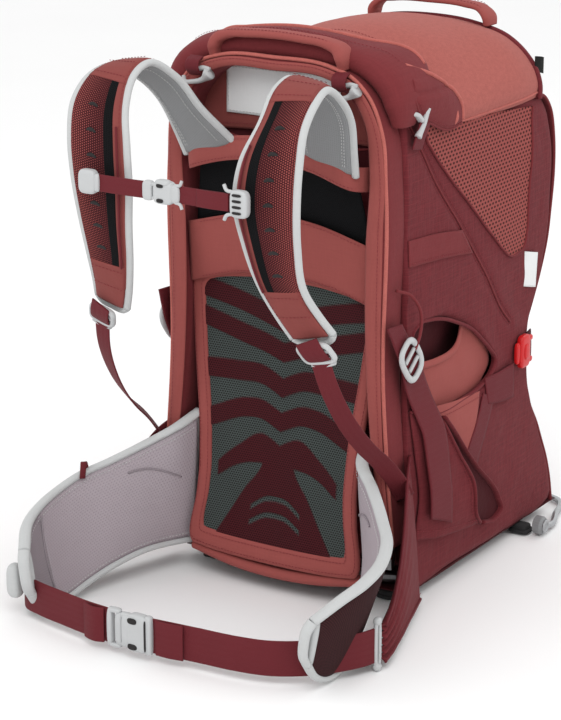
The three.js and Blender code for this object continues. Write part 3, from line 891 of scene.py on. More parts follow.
def make_back_panel():
    """The suspended back: padded coral border, net, foam ribs, the black and coral panels above."""
    centre = np.array([0.0, 230.0])
    outer = by_angle(ring_outline(PANEL_OUTER, 500), centre, 220)
    hole = by_angle(ring_outline(PANEL_HOLE, 500), centre, 220)

    def raise_flat(flat, y):
        """An outline of the leaning panel, so far behind its face."""
        return upright(flat, y + panel_lean(flat[:, 1]))

    border = between(raise_flat(hole, -11.0), raise_flat(outer, -11.0), Y_AXIS, 6.0, 2.8, 20)
    solid("back_border_pad", border, "coral_cloth", ["back_border"], wrap_u=True, plane="xz")
    inner_row = raise_flat(centre + (hole - centre) * 1.035, -17.2)
    outer_row = raise_flat(centre + (outer - centre) * 0.968, -16.8)
    stitches("back_border_stitches", [(inner_row, -Y_AXIS), (outer_row, -Y_AXIS)])

    width = np.linspace(-1, 1, 150)
    rows = np.linspace(0, 1, 230)
    half_w = smooth([(116, 62), (107, 140), (110, 220), (122, 320), (128, 400)], 230)
    top_edge = 404 + 16 * (1 - width**2)
    z = 62 + rows[:, None] * (top_edge[None] - 62)
    x = np.interp(z, half_w[:, 1], half_w[:, 0]) * width[None]
    cover = rib_cover(x / np.interp(z, half_w[:, 1], half_w[:, 0] - 6), z)
    sag = 5.0 * (1 - width[None] ** 2) * np.sin(np.pi * rows[:, None])
    y = BACK_FACE + panel_lean(z) + sag - 1.6 * cover
    grid = np.stack([x, y, z], axis=-1)
    panel = cloth("back_net_panel", grid, "back_net", -Y_AXIS, ["back_mesh"], plane="xz",
                  thickness=0.0009, on=["back_border_pad"])
    value = panel.data.attributes.new("rib_cover", "FLOAT", "POINT")
    value.data.foreach_set("value", cover.ravel().astype(np.float32))

    u = np.linspace(-0.94, 0.94, 110)
    zf = np.linspace(80, 392, 150)
    xf = np.interp(zf, half_w[:, 1], half_w[:, 0])[:, None] * u[None]
    zz = np.broadcast_to(zf[:, None], xf.shape)
    yf = 3.0 + panel_lean(zz) - 5.5 * rib_cover(np.broadcast_to(u, xf.shape), zz)
    foam = make_mesh("ridged_foam", join(xf, yf, zz), "foam_skin", plane="xz",
                     outward=-Y_AXIS)
    thicken(foam, 0.004)
    settle(foam, "carrier", ["ridged_foam_pad"])

    def flat_panel(name, bottom, top, depth, paint, slot, replaces=(), crown=2.0, cells=(60, 24)):
        """A panel across the back between two edge lines, slightly crowned."""
        b, t = smooth(bottom, cells[0], tight=0.8), smooth(top, cells[0], tight=0.8)
        v = np.linspace(0, 1, cells[1])[None, :, None]
        flat = b[:, None] * (1 - v) + t[:, None] * v
        puff = np.sin(np.pi * v[..., 0]) ** 0.5 * np.sin(np.pi * np.linspace(0, 1, cells[0]))[:, None] ** 0.4
        wave = folds(flat[..., 0], flat[..., 1], 11, 60, 160) * 0.8
        y = depth[0] * (1 - v[..., 0]) + depth[1] * v[..., 0]
        grid = join(flat[..., 0], y - crown * puff + wave * puff, flat[..., 1])
        cloth(name, grid, paint, -Y_AXIS, replaces, slot=slot, plane="xz")
        return grid

    flat_panel("back_gusset", [(-150, 60), (0, 60), (150, 60)], [(-150, 612), (0, 612), (150, 612)],
               (38.5, 38.5), "maroon_cloth", "maroon_lining", cells=(60, 70))
    flat_panel("black_panel", [(-133, 462), (0, 486), (133, 462)], [(-117, 562), (0, 588), (117, 562)],
               (14.0, 0.0), "black_net", "black_mesh", ["back_upper_panel"])
    low = flat_panel("lower_yoke_panel", [(-141, 398), (-70, 418), (0, 424), (70, 418), (141, 398)],
                     [(-138, 480), (-60, 500), (0, 506), (60, 500), (138, 480)], (11.0, 2.0), "coral_cloth",
                     "coral_fabric", crown=3.0)
    plan = smooth([(-130, 24), (-129, 0), (-120, -20), (-60, -26), (0, -27), (60, -26), (120, -20),
                   (129, 0), (130, 24)], 90)
    foot = 580 - 0.00171 * plan[:, 0] ** 2
    v = np.linspace(0, 1, 16)[None]
    puff = 2.5 * np.sin(np.pi * v)
    yoke = join(plan[:, :1], plan[:, 1:] - puff, foot[:, None] + 31 * v)
    cloth("harness_yoke_band", yoke, "coral_cloth", -Y_AXIS, ["harness_yoke"], body="harness")
    # The recessed panel is painted dark maroon as painted shade in the recess.
    flat_panel("recess_panel", [(-140, 572), (0, 572), (140, 572)], [(-137, 622), (0, 606), (137, 622)],
                        (34.0, 34.0), "lining_in_painted_shade", "maroon_lining", crown=1.0)
    crown = flat_panel("crown_cloth", [(-136, 600), (-60, 604), (0, 605), (60, 604), (136, 600)],
                       [(-124, 676), (-60, 690), (0, 696), (60, 690), (124, 676)], (29.0, 26.0),
                       "coral_shade", "coral_fabric", ["crown_panel"], crown=1.5)
    rows = [(g[4:-4, k] - [0, 1.4, 0], -Y_AXIS) for g, k in ((low, 1), (low, -2), (crown, 2))]
    stitches("panel_stitches", rows)
    rows = [(yoke[10:-10, k] - [0, 1.4, 0], -Y_AXIS) for k in (2, -3)]
    stitches("yoke_stitches", rows, body="harness")
    hem = smooth([(-128, -4, 40), (-60, -9, 30), (0, -10, 27), (60, -9, 30), (128, -4, 40)], 80)
    solid("base_roll", sweep(hem, oval(9.0, 8.0, 20), Y_AXIS), "coral_cloth")
    seam = cord_grid([(x, 33.5, z) for x,
                      z in ((-132, 600), (-60, 590), (0, 587), (60, 590), (132, 600))], 1.6, 60)
    solid("recess_seam", seam, "collar_cloth")
    u = np.linspace(-92, 76, 40)
    v = np.linspace(624, 686, 20)
    gu, gv = np.meshgrid(u, v, indexing="ij")
    curl = 24.4 - 0.9 * folds(gu, gv, 5, 40, 120)
    cloth("blank_label", join(gu, curl, gv), "label_cloth", -Y_AXIS, plane="xz",
          thickness=0.0005, on=["crown_cloth"])
    edge = np.array([(-89, 24.0, 627), (-89, 24.0, 683), (73, 24.0, 683), (73, 24.0, 627),
                     (-89, 24.0, 627)], float)
    line = np.concatenate([np.linspace(edge[i], edge[i + 1], 30) for i in range(4)])
    stitches("label_stitches", [(line, -Y_AXIS)], paint="pale_thread")


RIM_OUTER = [(178, 96), (168, 200), (161, 300), (161, 560), (155, 626), (137, 668), (112, 691),
             (80, 702), (0, 706)]
RIM_INNER = [(158, 96), (148, 200), (141, 300), (141, 556), (134, 612), (119, 648), (99, 671),
             (76, 687), (0, 692)]
STRIP_OUTER = [(176, 96), (164, 200), (158, 300), (158, 500), (159, 582), (150, 636), (130, 672),
               (110, 689), (80, 700), (0, 703)]
STRIP_INNER = [(166, 96), (148, 200), (138, 300), (134, 485), (138, 582), (130, 640), (108, 674),
               (76, 688), (0, 691)]
COLLAR_INNER = [(150, 632), (146, 646), (138, 660), (120, 678), (82, 692), (0, 699)]
COLLAR_OUTER = [(170, 632), (175, 652), (176, 668), (166, 694), (142, 714), (88, 728), (0, 737)]


def make_rim():
    """The arched rim, the padded collar behind it, the front handle and the hooks."""
    outer = smooth(whole_arch(RIM_OUTER), 200)
    inner = smooth(whole_arch(RIM_INNER), 200)
    rim = between(upright(inner, 15.5), upright(outer, 15.5), Y_AXIS, 25.0, 3.6, 28)
    solid("rim_sleeve", rim, "collar_cloth", ["front_rim"], plane="yz")
    edges = [upright(smooth(whole_arch(line), 220), -10.2) for line in (STRIP_INNER, STRIP_OUTER)]
    share = np.linspace(0, 1, 10)[None, :, None]
    strip = edges[0][:, None] * (1 - share) + edges[1][:, None] * share
    strip[..., 1] -= 2.2 * np.sin(np.pi * share[..., 0])
    cloth("rim_front_strip", strip, "coral_cloth", -Y_AXIS, plane="xz", on=["rim_sleeve"])
    front_edge = upright(outer * [0.992, 1.0] + [0, 1.0], -7.0)
    solid("rim_piping", sweep(front_edge, oval(2.6, 2.6, 10), Y_AXIS), "heather_binding")
    row = strip[:, 7] - [0, 1.2, 0]
    stitches("rim_stitches", [(row[6:-6], -Y_AXIS)])

    n = 170
    c_in, c_out = smooth(whole_arch(COLLAR_INNER), n), smooth(whole_arch(COLLAR_OUTER), n)
    t = np.abs(np.linspace(-1, 1, n))
    middle_y = 38.0 + 24.0 * bump_line(t - 0.62, 0.22) - 4 * t
    half_y = 34.0 + 22.0 * bump_line(t - 0.62, 0.22) - 14 * np.clip((t - 0.86) / 0.14, 0, 1)
    ring = oval(1, 1, 36, 2.5)
    centre = upright((c_in + c_out) / 2, middle_y)
    reach = upright((c_out - c_in) / 2, 0.0)
    across = reach[:, None] * ring[None, :, :1]
    collar = centre[:, None] + across + Y_AXIS * half_y[:, None, None] * ring[None, :, 1:]
    slack = folds(np.arange(n)[:, None] * 5.0, collar[..., 1], 3, 70, 200)
    collar += unit(collar - centre[:, None]) * slack[..., None] * 1.8
    solid("cockpit_collar", collar, "collar_cloth")
    top = upright(c_out * [0.985, 1.0] + [0, -1.6], middle_y + half_y * 0.55)
    solid("collar_binding", sweep(top[26:-26], oval(2.4, 3.4, 10), Y_AXIS), "heather_binding")
    seam_y = middle_y - half_y * 0.35
    seams = [(upright(c_out + [0, 0.6], seam_y)[30:-30], Z_AXIS)]
    stitches("collar_stitches", seams)

    make_side_collars()

    path = smooth(whole_arch([(93, 6, 700), (93, 5, 712), (88, 4, 722), (72, 3, 729), (40, 2, 732.5),
                              (0, 2, 734)]), 120)
    end = np.abs(np.linspace(-1, 1, 120))
    section = oval(1, 1, 24, 2.8)
    sizes_along = np.stack([13.0 + 5.0 * bump_line(end - 0.86, 0.10), 5.6
                            + 2.0 * bump_line(end - 0.80, 0.16)], axis=1)
    grip = sweep(path, section[None] * sizes_along[:, None], Y_AXIS)
    solid("front_grab_handle", grip, "coral_cloth", ["front_handle"])
    rows = [(path[14:-14] + [0, dy, 5.2], Z_AXIS) for dy in (-9.5, 9.5)]
    stitches("front_handle_stitches", rows)
    for name, side in SIDES:
        middle = np.array([107.0 * side, -16.0, 676.0])
        t = np.linspace(0, 1, 60)
        thick = 2.4 + 1.6 * t + 4.2 * bump_line(t - 0.97, 0.16)
        path = smooth(middle + [(-24, 1, -3), (-22, 0, -9), (-8, -1, -9), (6, -1, -5), (17, -1, 4)], 60)
        hook = sweep(path, oval(1, 1, 14), Y_AXIS, scale=thick)
        arm = smooth(middle + [(16, 0, 8), (6, 1, 9), (-4, 2, 6)], 30)
        tail = sweep(arm, oval(2.8, 3.4, 12), Y_AXIS)
        solid(f"stow_hook_{name}", [hook, tail], "pale_plastic", [f"front_hook_{name}"])
        loop_path = smooth(middle + [(-8, 8, 22), (-8, -3, 16), (-7, -5, 8), (-6, 2, 0)], 24)
        loop = sweep(loop_path, oval(10, 1.0, 20, 6), X_AXIS)
        solid(f"hook_loop_{name}", loop, "maroon_webbing")
        post = sweep(smooth([(168, 34, 648), (174, 42, 645), (176, 50, 637)], 20),
                     oval(4.5, 3.0, 14, 3), X_AXIS)
        bar = sweep(smooth([(176, 42, 618), (177, 54, 633), (176, 64, 650)], 24), oval(3.6, 3.6, 14),
                    X_AXIS, scale=1 + 0.35 * np.abs(np.linspace(-1, 1, 24)) ** 3)
        solid(f"stow_toggle_{name}", [post, bar], "pale_plastic", [f"side_toggle_{name}"], side=side)
        tab = sweep(smooth([(169, 52, 600), (174, 56, 622), (176, 60, 634)], 20), oval(13, 1.2, 20, 6),
                    Y_AXIS)
        solid(f"toggle_tab_{name}", tab, "maroon_webbing", side=side)


COLLAR_LOW = [(34, 664), (52, 642), (84, 626), (132, 612), (160, 616)]
COLLAR_LIP = [(46, 703), (87, 687), (132, 661), (156, 638), (161, 620)]


def make_side_collars():
    """The collar's two flanks: a padded wing each side, from the rim back to the foot of the hood."""
    flat = flat_patch(COLLAR_LOW, COLLAR_LIP, [(34, 664), (37, 684), (46, 703)],
                      [(160, 616), (162, 618), (161, 620)], 60, 24)
    u = np.linspace(0, 1, 60)[:, None]
    v = np.linspace(0, 1, 24)[None]
    crown = 7.0 * np.sin(np.pi * np.clip(0.15 + 0.85 * u, 0, 1)) ** 0.6 * np.sin(np.pi * v) ** 0.6
    tilt = np.interp(flat[..., 1], [600, 660, 686, 704], [171, 175, 168, 152])
    seam = 2.4 * bump_line(flat[..., 1] - 672 + 0.03 * flat[..., 0], 3.0) * (flat[..., 0] < 126)
    x = tilt + crown - seam + folds(flat[..., 0], flat[..., 1], 61, 50, 120) * 1.6 * np.sin(np.pi * v)
    wing = join(x, flat[..., 0], flat[..., 1])
    for name, side in SIDES:
        cloth(f"collar_flank_{name}", wing, "collar_cloth", X_AXIS, side=side, plane="yz",
              thickness=0.004, on=["cockpit_collar"])
        lip = wing[:, -1] + [0.5, 0, 0.5]
        low = wing[:, 0] + [0.5, 0, 0]
        solid(f"collar_flank_lip_{name}", sweep(lip, oval(2.6, 3.6, 12), Y_AXIS), "heather_binding",
              side=side)
        solid(f"collar_flank_seam_{name}", sweep(low, oval(1.8, 1.8, 8), X_AXIS), "collar_cloth",
              side=side)
        rows = [(handed(wing[3:-3, 2] + [1.0, 0, 0], side), X_AXIS * side)]
        stitches(f"collar_flank_stitches_{name}", rows)


# ---- hood ------------------------------------------------------------------------------------
HOOD_SECTIONS = (
    (140, [(160, 611), (174, 625), (170, 640), (150, 656), (112, 680), (60, 702), (0, 714)]),
    (200, [(164, 609), (173, 624), (170, 642), (152, 662), (116, 690), (62, 713), (0, 722)]),
    (280, [(165, 608), (173, 625), (170, 646), (154, 668), (120, 694), (64, 713), (0, 720)]),
    (345, [(165, 608), (171, 626), (167, 647), (152, 669), (122, 692), (66, 708), (0, 713)]),
    (388, [(163, 609), (166, 624), (161, 643), (148, 662), (120, 684), (66, 700), (0, 705)]),
)


def hood_curves(count, lift=0.0):
    """Arched sections of the hood, one for each station along its length."""
    curves = []
    for y, half in HOOD_SECTIONS:
        flat = smooth(whole_arch(half), count)
        shrink = 1 - lift / 160.0
        curves.append(join(flat[:, 0] * shrink, float(y), flat[:, 1] - lift))
    return curves


def make_hood():
    """The hood: heather shell over a lining, a rolled front binding and its side seams."""
    shell = loft(hood_curves(120), 70)
    u = np.arange(120)[None] * 4.0
    ripple = folds(shell[..., 1], np.broadcast_to(u, shell.shape[:2]), 21, 90, 240) * 1.5
    edge = np.clip(np.minimum(np.linspace(0, 1, 70), np.linspace(1, 0, 70)) * 8, 0, 1)[:, None]
    middle = np.array([0, 0, 560.0])
    out = unit((shell - middle) * [1, 0, 1])
    shell = shell + out * (ripple * edge)[..., None]
    cloth("hood_shell", shell, "heather_knit", Z_AXIS, ["hood"], body="hood", thickness=0.0016,
          on=["rear_crown"])
    inner = loft(hood_curves(120, 4.0), 40)
    inner[:, :, 1] = np.clip(inner[:, :, 1], 144, 384)
    # The hood's lining is painted dark maroon: partly lining cloth, partly painted shade inside the hood.
    cloth("hood_lining", inner, "lining_in_painted_shade", Z_AXIS, body="hood", slot="heather_fabric",
          thickness=0.001, on=["hood_shell"])
    front = shell[0]
    solid("hood_front_binding", sweep(front, oval(4.2, 5.2, 14), Y_AXIS), "heather_binding",
          body="hood")
    seam = shell[5] + out[5] * 1.0
    stitches("hood_stitches", [(seam, out[5])], body="hood")
    sides = [shell[:, 2], shell[:, -3]]
    solid("hood_side_seams", [sweep(line, oval(1.6, 1.6, 8), Z_AXIS) for line in sides],
          "heather_binding", body="hood")
    rear = shell[-1] + [0, 1.5, 0]
    solid("hood_rear_seam", sweep(rear, oval(3.0, 2.2, 10), Y_AXIS), "maroon_cloth", body="hood")


# ---- side walls ------------------------------------------------------------------------------
WALL_OUTLINE = [(38, 18), (150, 15), (300, 14), (440, 14), (456, 20), (448, 52), (437, 84), (420, 118),
                (404, 148), (384, 178), (368, 214), (362, 250), (362, 288), (372, 310), (386, 328),
                (408, 364), (427, 404), (438, 450), (446, 500), (445, 544), (432, 588), (414, 606),
                (388, 614), (280, 613), (180, 613), (150, 622), (120, 640), (80, 650), (38, 652),
                (36, 560), (36, 400), (36, 250), (36, 120),]
LEG_OPENING = [
    (44, 340), (50, 364), (66, 373), (95, 372), (125, 366), (160, 353), (198, 334), (224, 314), (246, 296),
    (263, 276), (254, 262), (228, 251), (170, 245), (111, 244), (66, 252), (46, 280),
]
WALL_CENTRE = np.array([152.0, 296.0])
SEAM_TO_STITCH = np.array([5.0, 4.2])
SEAM_LINE = [(40, 640), (110, 545), (187, 456), (236, 398), (282, 339), (303, 319)]
MESH_LEFT = [(81, 627), (82, 606), (94, 592), (130, 556), (191, 501), (240, 456), (278, 424), (292, 414)]
MESH_RIGHT = [(372, 600), (370, 585), (368, 560), (362, 510), (356, 460), (350, 428), (342, 414),
              (325, 410)]


WALL_FOOT = (175.0, 14.0)
WALL_HEIGHT = 599.0
WALL_LEAN = 12.0
WALL_CROWN = 8.0
OPENING_ROLL = 7.0
HEM_TURN = 9.0
BUCKLE_PULL = (290.0, 320.0)


def side_x(y, z):
    """Outer face of the right wall: the leaning wall, a soft crown that dies to its edges, slack folds and
    a pinch along the long seam."""
    lean = WALL_FOOT[0] - WALL_LEAN * np.clip((z - WALL_FOOT[1]) / WALL_HEIGHT, 0, 1.1)
    crown = WALL_CROWN * np.sin(np.pi * np.clip((y - 36) / 410, 0, 1)) ** 0.8
    crown = crown * np.sin(np.pi * np.clip((z - 8) / 620, 0, 1)) ** 0.7
    slack = folds(y, z, 8, 70, 230) * sizes().slack / MM * 1.6 + folds(y, z, 9, 22, 60) * 0.35
    pull = 2.2 * np.sin((y + 0.8 * z) / 17.0) * bump_line(np.hypot(y - BUCKLE_PULL[0], z
                                                                   - BUCKLE_PULL[1]), 60.0)
    pinch = -2.2 * bump_line(to_line(y, z, SEAM_LINE), 7.0)
    return lean + crown + slack + pull + pinch


def on_wall(flat, proud):
    """A flat grid of (y, z) laid on the right wall, standing so far proud of it."""
    flat = np.asarray(flat, float)
    return join(side_x(flat[..., 0], flat[..., 1]) + proud, flat[..., 0], flat[..., 1])


def flat_patch(bottom, top, left, right, nu, nv):
    """A patch of the side plane between four edges given as (y, z)."""
    lift = lambda line: [(0.0, y, z) for y, z in line]
    return coons(lift(bottom), lift(top), lift(left), lift(right), nu, nv)[..., 1:]


def wall_cloth(kind, name, side, grid, paint, replaces=(), **settings):
    """A piece of cloth on one side wall, facing out, its pattern in the side plane."""
    return cloth(f"{kind}_{name}", grid, paint, X_AXIS, replaces, side=side, plane="yz",
                 on=[f"side_wall_{name}"], **settings)


def make_side_walls():
    """The pack's side walls with their leg openings, nets, seams, bands and flaps."""
    outline = by_angle(smooth(WALL_OUTLINE, 1200, closed=True, tight=0.7), WALL_CENTRE, 260)
    opening = by_angle(smooth(LEG_OPENING, 700, closed=True), WALL_CENTRE, 260)
    s = np.linspace(0, 1, 52)[None, :, None] ** 1.05
    flat = opening[:, None] * (1 - s) + outline[:, None] * s
    wall = on_wall(flat, 0.0)
    rolled = np.clip(1 - s[..., 0] * 18, 0, 1) ** 2
    hem = np.clip((s[..., 0] - 0.94) / 0.06, 0, 1) ** 2
    wall[..., 0] -= OPENING_ROLL * rolled
    wall[..., 0] -= HEM_TURN * hem
    window = flat_patch(MESH_LEFT[:1] + [(150, 618), (260, 610)] + MESH_RIGHT[:1],
                        [MESH_LEFT[-1], (308, 409), MESH_RIGHT[-1]], MESH_LEFT, MESH_RIGHT, 60, 60)
    flap = flat_patch([(88, 250), (140, 204), (188, 154)], [(90, 257), (150, 250), (218, 245)],
                      [(88, 250), (88, 254), (90, 257)], [(188, 154), (204, 196), (218, 245)], 30, 24)
    flank = flat_patch(
        [(62, 254), (120, 244), (228, 243)], [(60, 316), (115, 311), (165, 318), (186, 346)],
        [(62, 254), (52, 286), (60, 316)], [(228, 243), (262, 276), (234, 316), (186, 346)], 40, 24,
    )
    strip = flat_patch(
        [(182, 168), (206, 135)], [(226, 240), (254, 226)], [(182, 168), (206, 206), (226, 240)],
        [(206, 135), (232, 182), (254, 226)], 10, 24,
    )
    band = flat_patch([(40, 452), (120, 447), (196, 438)], [(40, 486), (110, 482), (170, 474)],
                      [(40, 452), (40, 486)], [(196, 438), (184, 456), (170, 474)], 40, 12)
    for name, side in SIDES:
        cloth(f"side_wall_{name}", wall, "maroon_cloth", X_AXIS, [f"side_panel_{name}"], side=side,
              plane="yz", on=["main_frame_tube", "base_frame_tube"], flat=(436, 655), wrap_u=True)
        wall_cloth("side_net", name, side, on_wall(window, 1.4), "coral_net", [f"side_mesh_{name}"],
                   thickness=0.0008)
        wall_cloth("leg_flap", name, side, on_wall(flap, 1.4), "coral_cloth")
        inner = on_wall(flank, -9.0)
        inner[..., 0] += folds(flank[..., 0], flank[..., 1], 62, 40, 100) * 3
        wall_cloth("leg_flank", name, side, inner, "coral_cloth")
        arc = inner[:, -1] + [1.5, 0, 0]
        solid(f"leg_flank_binding_{name}", sweep(arc, oval(5.0, 2.4, 14), Z_AXIS),
                         "coral_cloth", side=side)
        wall_cloth("flap_strip", name, side, on_wall(strip, 2.2), "maroon_webbing")
        wall_cloth("side_band", name, side, on_wall(band, 2.0), "collar_cloth", slot="maroon_webbing")
        seam_flat = smooth(SEAM_LINE, 120)
        seam = on_wall(seam_flat, 1.2)
        frame_left = on_wall(smooth(MESH_LEFT, 80), 1.8)
        frame_right = on_wall(smooth(MESH_RIGHT, 70), 1.8)
        foot = on_wall(smooth([MESH_LEFT[-1], (308, 409), MESH_RIGHT[-1]], 20), 1.8)
        frame_line = np.concatenate([frame_left, foot[1:-1], frame_right[::-1]])
        cords = [sweep(seam, oval(1.3, 1.3, 8), X_AXIS), sweep(frame_line, oval(2.0, 1.3, 8), X_AXIS)]
        solid(f"wall_seams_{name}", cords, "collar_cloth", side=side)
        hem_line = on_wall(by_angle(smooth(LEG_OPENING, 700, closed=True), WALL_CENTRE, 160), -1.5)
        solid(f"leg_opening_hem_{name}", sweep(hem_line, oval(3.2, 2.6, 10), X_AXIS, closed=True),
              "maroon_cloth", side=side, wrap_u=True)
        beside = on_wall(seam_flat + SEAM_TO_STITCH, 0.5)
        beside2 = on_wall(seam_flat - SEAM_TO_STITCH * 0.8, 0.5)
        flap_row = on_wall(smooth([(68, 240), (130, 238), (222, 238)], 60), 2.2)
        band_low = on_wall(smooth([(44, 456), (120, 451), (190, 443)], 60), 2.6)
        band_end = on_wall(smooth([(188, 442), (176, 456), (165, 471)], 20), 2.6)
        rows = [(line, X_AXIS) for line in (beside, beside2, flap_row, band_low, band_end)]
        stitches(f"wall_stitches_{name}", rows, side=side)


def make_side_gear():
    """What hangs on the walls: stirrups with their straps, compression webbing, red buckles, free locks."""
    front_lip = [(204, 66), (183, 85), (168, 135), (134, 187), (107, 236)]
    rear_lip = [(218, 61), (254, 55), (273, 64), (261, 86), (196, 148), (109, 240)]
    pouch = flat_patch([(50, 88), (107, 77), (204, 66)], [(38, 265), (74, 252), (107, 236)],
                       [(50, 88), (57, 142), (48, 212), (38, 265)], front_lip, 50, 44)
    pocket = flat_patch([(204, 66), (212, 62), (218, 61)], [(107, 236), (108, 238), (109, 240)], front_lip,
                        rear_lip, 24, 60)
    strip = flat_patch([(64, 116), (90, 106), (117, 95)], [(-19, 388), (0, 387), (16, 386)],
                       [(64, 116), (58, 180), (51, 235), (22, 299), (-19, 388)],
                       [(117, 95), (112, 160), (104, 222), (76, 287), (16, 386)], 14, 70)
    u = np.linspace(0, 1, 50)[:, None]
    v = np.linspace(0, 1, 44)[None]
    puff = 9.0 * np.sin(np.pi * np.clip(u, 0, 0.5)) ** 0.5 + 9.0 * u**3 * np.sin(np.pi * v) ** 0.6
    puff = puff * (1 - 0.7 * v**3)
    wave = folds(pouch[..., 0], pouch[..., 1], 31, 36, 100) * 3.0
    hang_out = np.interp(strip[..., 1], [100, 235, 300, 388], [19, 15, 7, 5])
    hang_out = hang_out + 1.6 * np.sin(np.linspace(0, 9, 70))[None]
    for name, side in SIDES:
        body = f"foot_loop_{name}"
        face = on_wall(pouch, 3.0)
        face[..., 0] += puff + wave * np.sin(np.pi * u) ** 0.6
        wall_cloth("stirrup", name, side, face, "maroon_cloth", [f"foot_loop_{name}"], body=body,
                   thickness=0.0022, held="hung")
        inside = on_wall(pocket, 2.4)
        hollow = np.linspace(0, 1, 24)[:, None]
        inside[..., 0] += 4.0 * hollow**4
        # The inside of the stirrup pocket is painted dark maroon as painted shade inside the pocket.
        wall_cloth("stirrup_inside", name, side, inside, "lining_in_painted_shade", body=body)
        rear = inside[-1] + [1.5, 0, 0]
        hems = [sweep(face[-1] + [0.6, 0, 0], oval(2.8, 2.2, 10), X_AXIS),
                sweep(rear, oval(5.5, 2.6, 12), X_AXIS),
                sweep(face[:, -1] + [0.6, 0, 0], oval(2.2, 2.0, 10), X_AXIS)]
        solid(f"stirrup_hem_{name}", hems, "maroon_cloth", body=body, side=side)
        rows = [(line + [0.8, 0, 0], X_AXIS) for line in (face[:, 3], face[-4])]
        stitches(f"stirrup_stitches_{name}", rows, body=body, side=side)
        hanging_grid = on_wall(strip, 0.0)
        hanging_grid[..., 0] += hang_out
        hanging = make_mesh(f"stirrup_strap_{name}", handed(hanging_grid, side), "maroon_webbing",
                            plane="yz", outward=X_AXIS * side)
        thicken(hanging, 0.0024)
        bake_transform(hanging)
        web = on_wall(flat_patch([(238, 222), (270, 216), (304, 214)], [(230, 259), (268, 260), (304, 262)],
                                 [(238, 222), (230, 259)], [(304, 214), (304, 262)], 24, 12), 2.4)
        web[..., 0] += np.linspace(0, 5, 24)[:, None] * 0.8
        wall_cloth("compression_web", name, side, web, "maroon_webbing", thickness=0.0018)
        x0 = side_x(np.array(325.0), np.array(270.0))
        shell = round_block((x0 + 1, 316, 250), (x0 + 12, 342, 296), 4.5)
        tip = round_block((x0 + 2, 308, 258), (x0 + 9, 318, 288), 3.5)
        prong_a = round_block((x0 + 3, 338, 254), (x0 + 10, 352, 262), 3.0)
        prong_b = round_block((x0 + 3, 338, 284), (x0 + 10, 352, 292), 3.0)
        ridge = round_block((x0 + 10, 322, 262), (x0 + 14, 336, 284), 3.0)
        parts = [handed(g, side) for g in (shell, tip, prong_a, prong_b, ridge)]
        solid(f"compression_buckle_{name}", parts, "red_plastic", [f"side_buckle_{name}"])
        back_web = on_wall(flat_patch([(346, 252), (360, 250)], [(346, 294), (360, 296)],
                                      [(346, 252), (346, 294)], [(360, 250), (360, 296)], 10, 12), 5.0)
        wall_cloth("buckle_web", name, side, back_web, "dark_webbing", thickness=0.0018)
        loose_lock(name, side)


def loose_lock(name, side):
    """A free ladder lock that hangs beside the rim on a thin looped strap."""
    outline = oval(27, 19, 48, 3.0)
    tilt = math.radians(-38)
    c, s = math.cos(tilt), math.sin(tilt)
    flat = outline @ np.array([[s, c], [c, -s]])
    ring = join(0.0, flat[:, 0], flat[:, 1])
    middle = np.array([181.0, 26.0, 338.0])
    tube = sweep(ring + middle, oval(3.2, 4.4, 12), X_AXIS, closed=True)
    bars = [sweep(smooth([middle + [0, -13 * c + k * s, -13 * -s + k * c], middle
                          + [0, 13 * c + k * s, -13 * s + k * c]], 8), oval(2.6, 2.6, 10), X_AXIS)
            for k in (-8, 8)]
    lock = make_mesh(f"free_lock_{name}", handed(tube, side), "pale_plastic", wrap_u=True, wrap_v=True)
    settle(lock, "carrier")
    solid(f"free_lock_bars_{name}", bars, "pale_plastic", side=side)
    loop = cord_grid([(168, 8, 430), (176, 30, 420), (183, 44, 396), (184, 40, 366), (182, 32, 350)],
                     2.2, 60, across=X_AXIS)
    solid(f"free_lock_loop_{name}", loop, "collar_cloth", side=side)


def make_cockpit():
    """Inside the pack: the side and front liners, the padded seat and the back rest."""
    # The liners and the seat pad are painted dark maroon: partly lining cloth, partly painted shade inside
    # the pack.
    for name, side in SIDES:
        y = np.linspace(50, 330, 50)[:, None]
        z = np.linspace(190, 600, 60)[None]
        x = 146.0 + 4 * folds(y, z, 42, 60, 160)
        side_liner = join(x, y, z)
        cloth(f"cockpit_side_liner_{name}", side_liner, "lining_in_painted_shade", -X_AXIS, side=side, plane="yz",
              held="hung")
    seat_line = smooth([(0, 94, 240), (0, 180, 238), (0, 312, 240)], 60)
    stations = np.linspace(0, 1, 60)
    width = 66 * np.sin(np.pi * np.clip(stations * 0.94 + 0.03, 0, 1)) ** 0.28
    centre = join(0.0, seat_line[:, 1], 251.0)
    ring = oval(1, 1, 36, 2.8)
    saddle = centre[:, None] + np.concatenate([ring[None, :, :1] * width[:, None, None],
                                               np.zeros((60, 36, 1)),
                                               np.broadcast_to(ring[None, :, 1:], (60, 36, 1)) * 13],
                                              axis=2)
    solid("child_seat_pad", saddle, "lining_in_painted_shade", ["seat_pad"], body="child_seat")
    back_line = smooth([(338, 274), (366, 332), (392, 402), (402, 476)], 60)
    wide = 104 * np.sin(np.pi * np.clip(stations * 0.9 + 0.06, 0, 1)) ** 0.22
    centre = join(0.0, back_line[:, 0], back_line[:, 1])
    rest = sweep(centre, ring[None] * np.stack([wide, np.full(60, 7.0)], axis=1)[:, None], X_AXIS)
    solid("child_back_rest", rest, "coral_cloth", ["seat_back_pad"])
    x = np.linspace(-154, 154, 60)[:, None]
    z = np.linspace(40, 640, 90)[None]
    quilt = 2.2 * np.abs(np.sin(z / 60 * np.pi)) ** 0.5
    front = join(x, 66 + quilt + folds(x, z, 43) * 1.5, z)
    cloth("cockpit_front_liner", front, "lining_in_painted_shade", Y_AXIS, ["cockpit_front_panel"], plane="xz",
          held="hung")


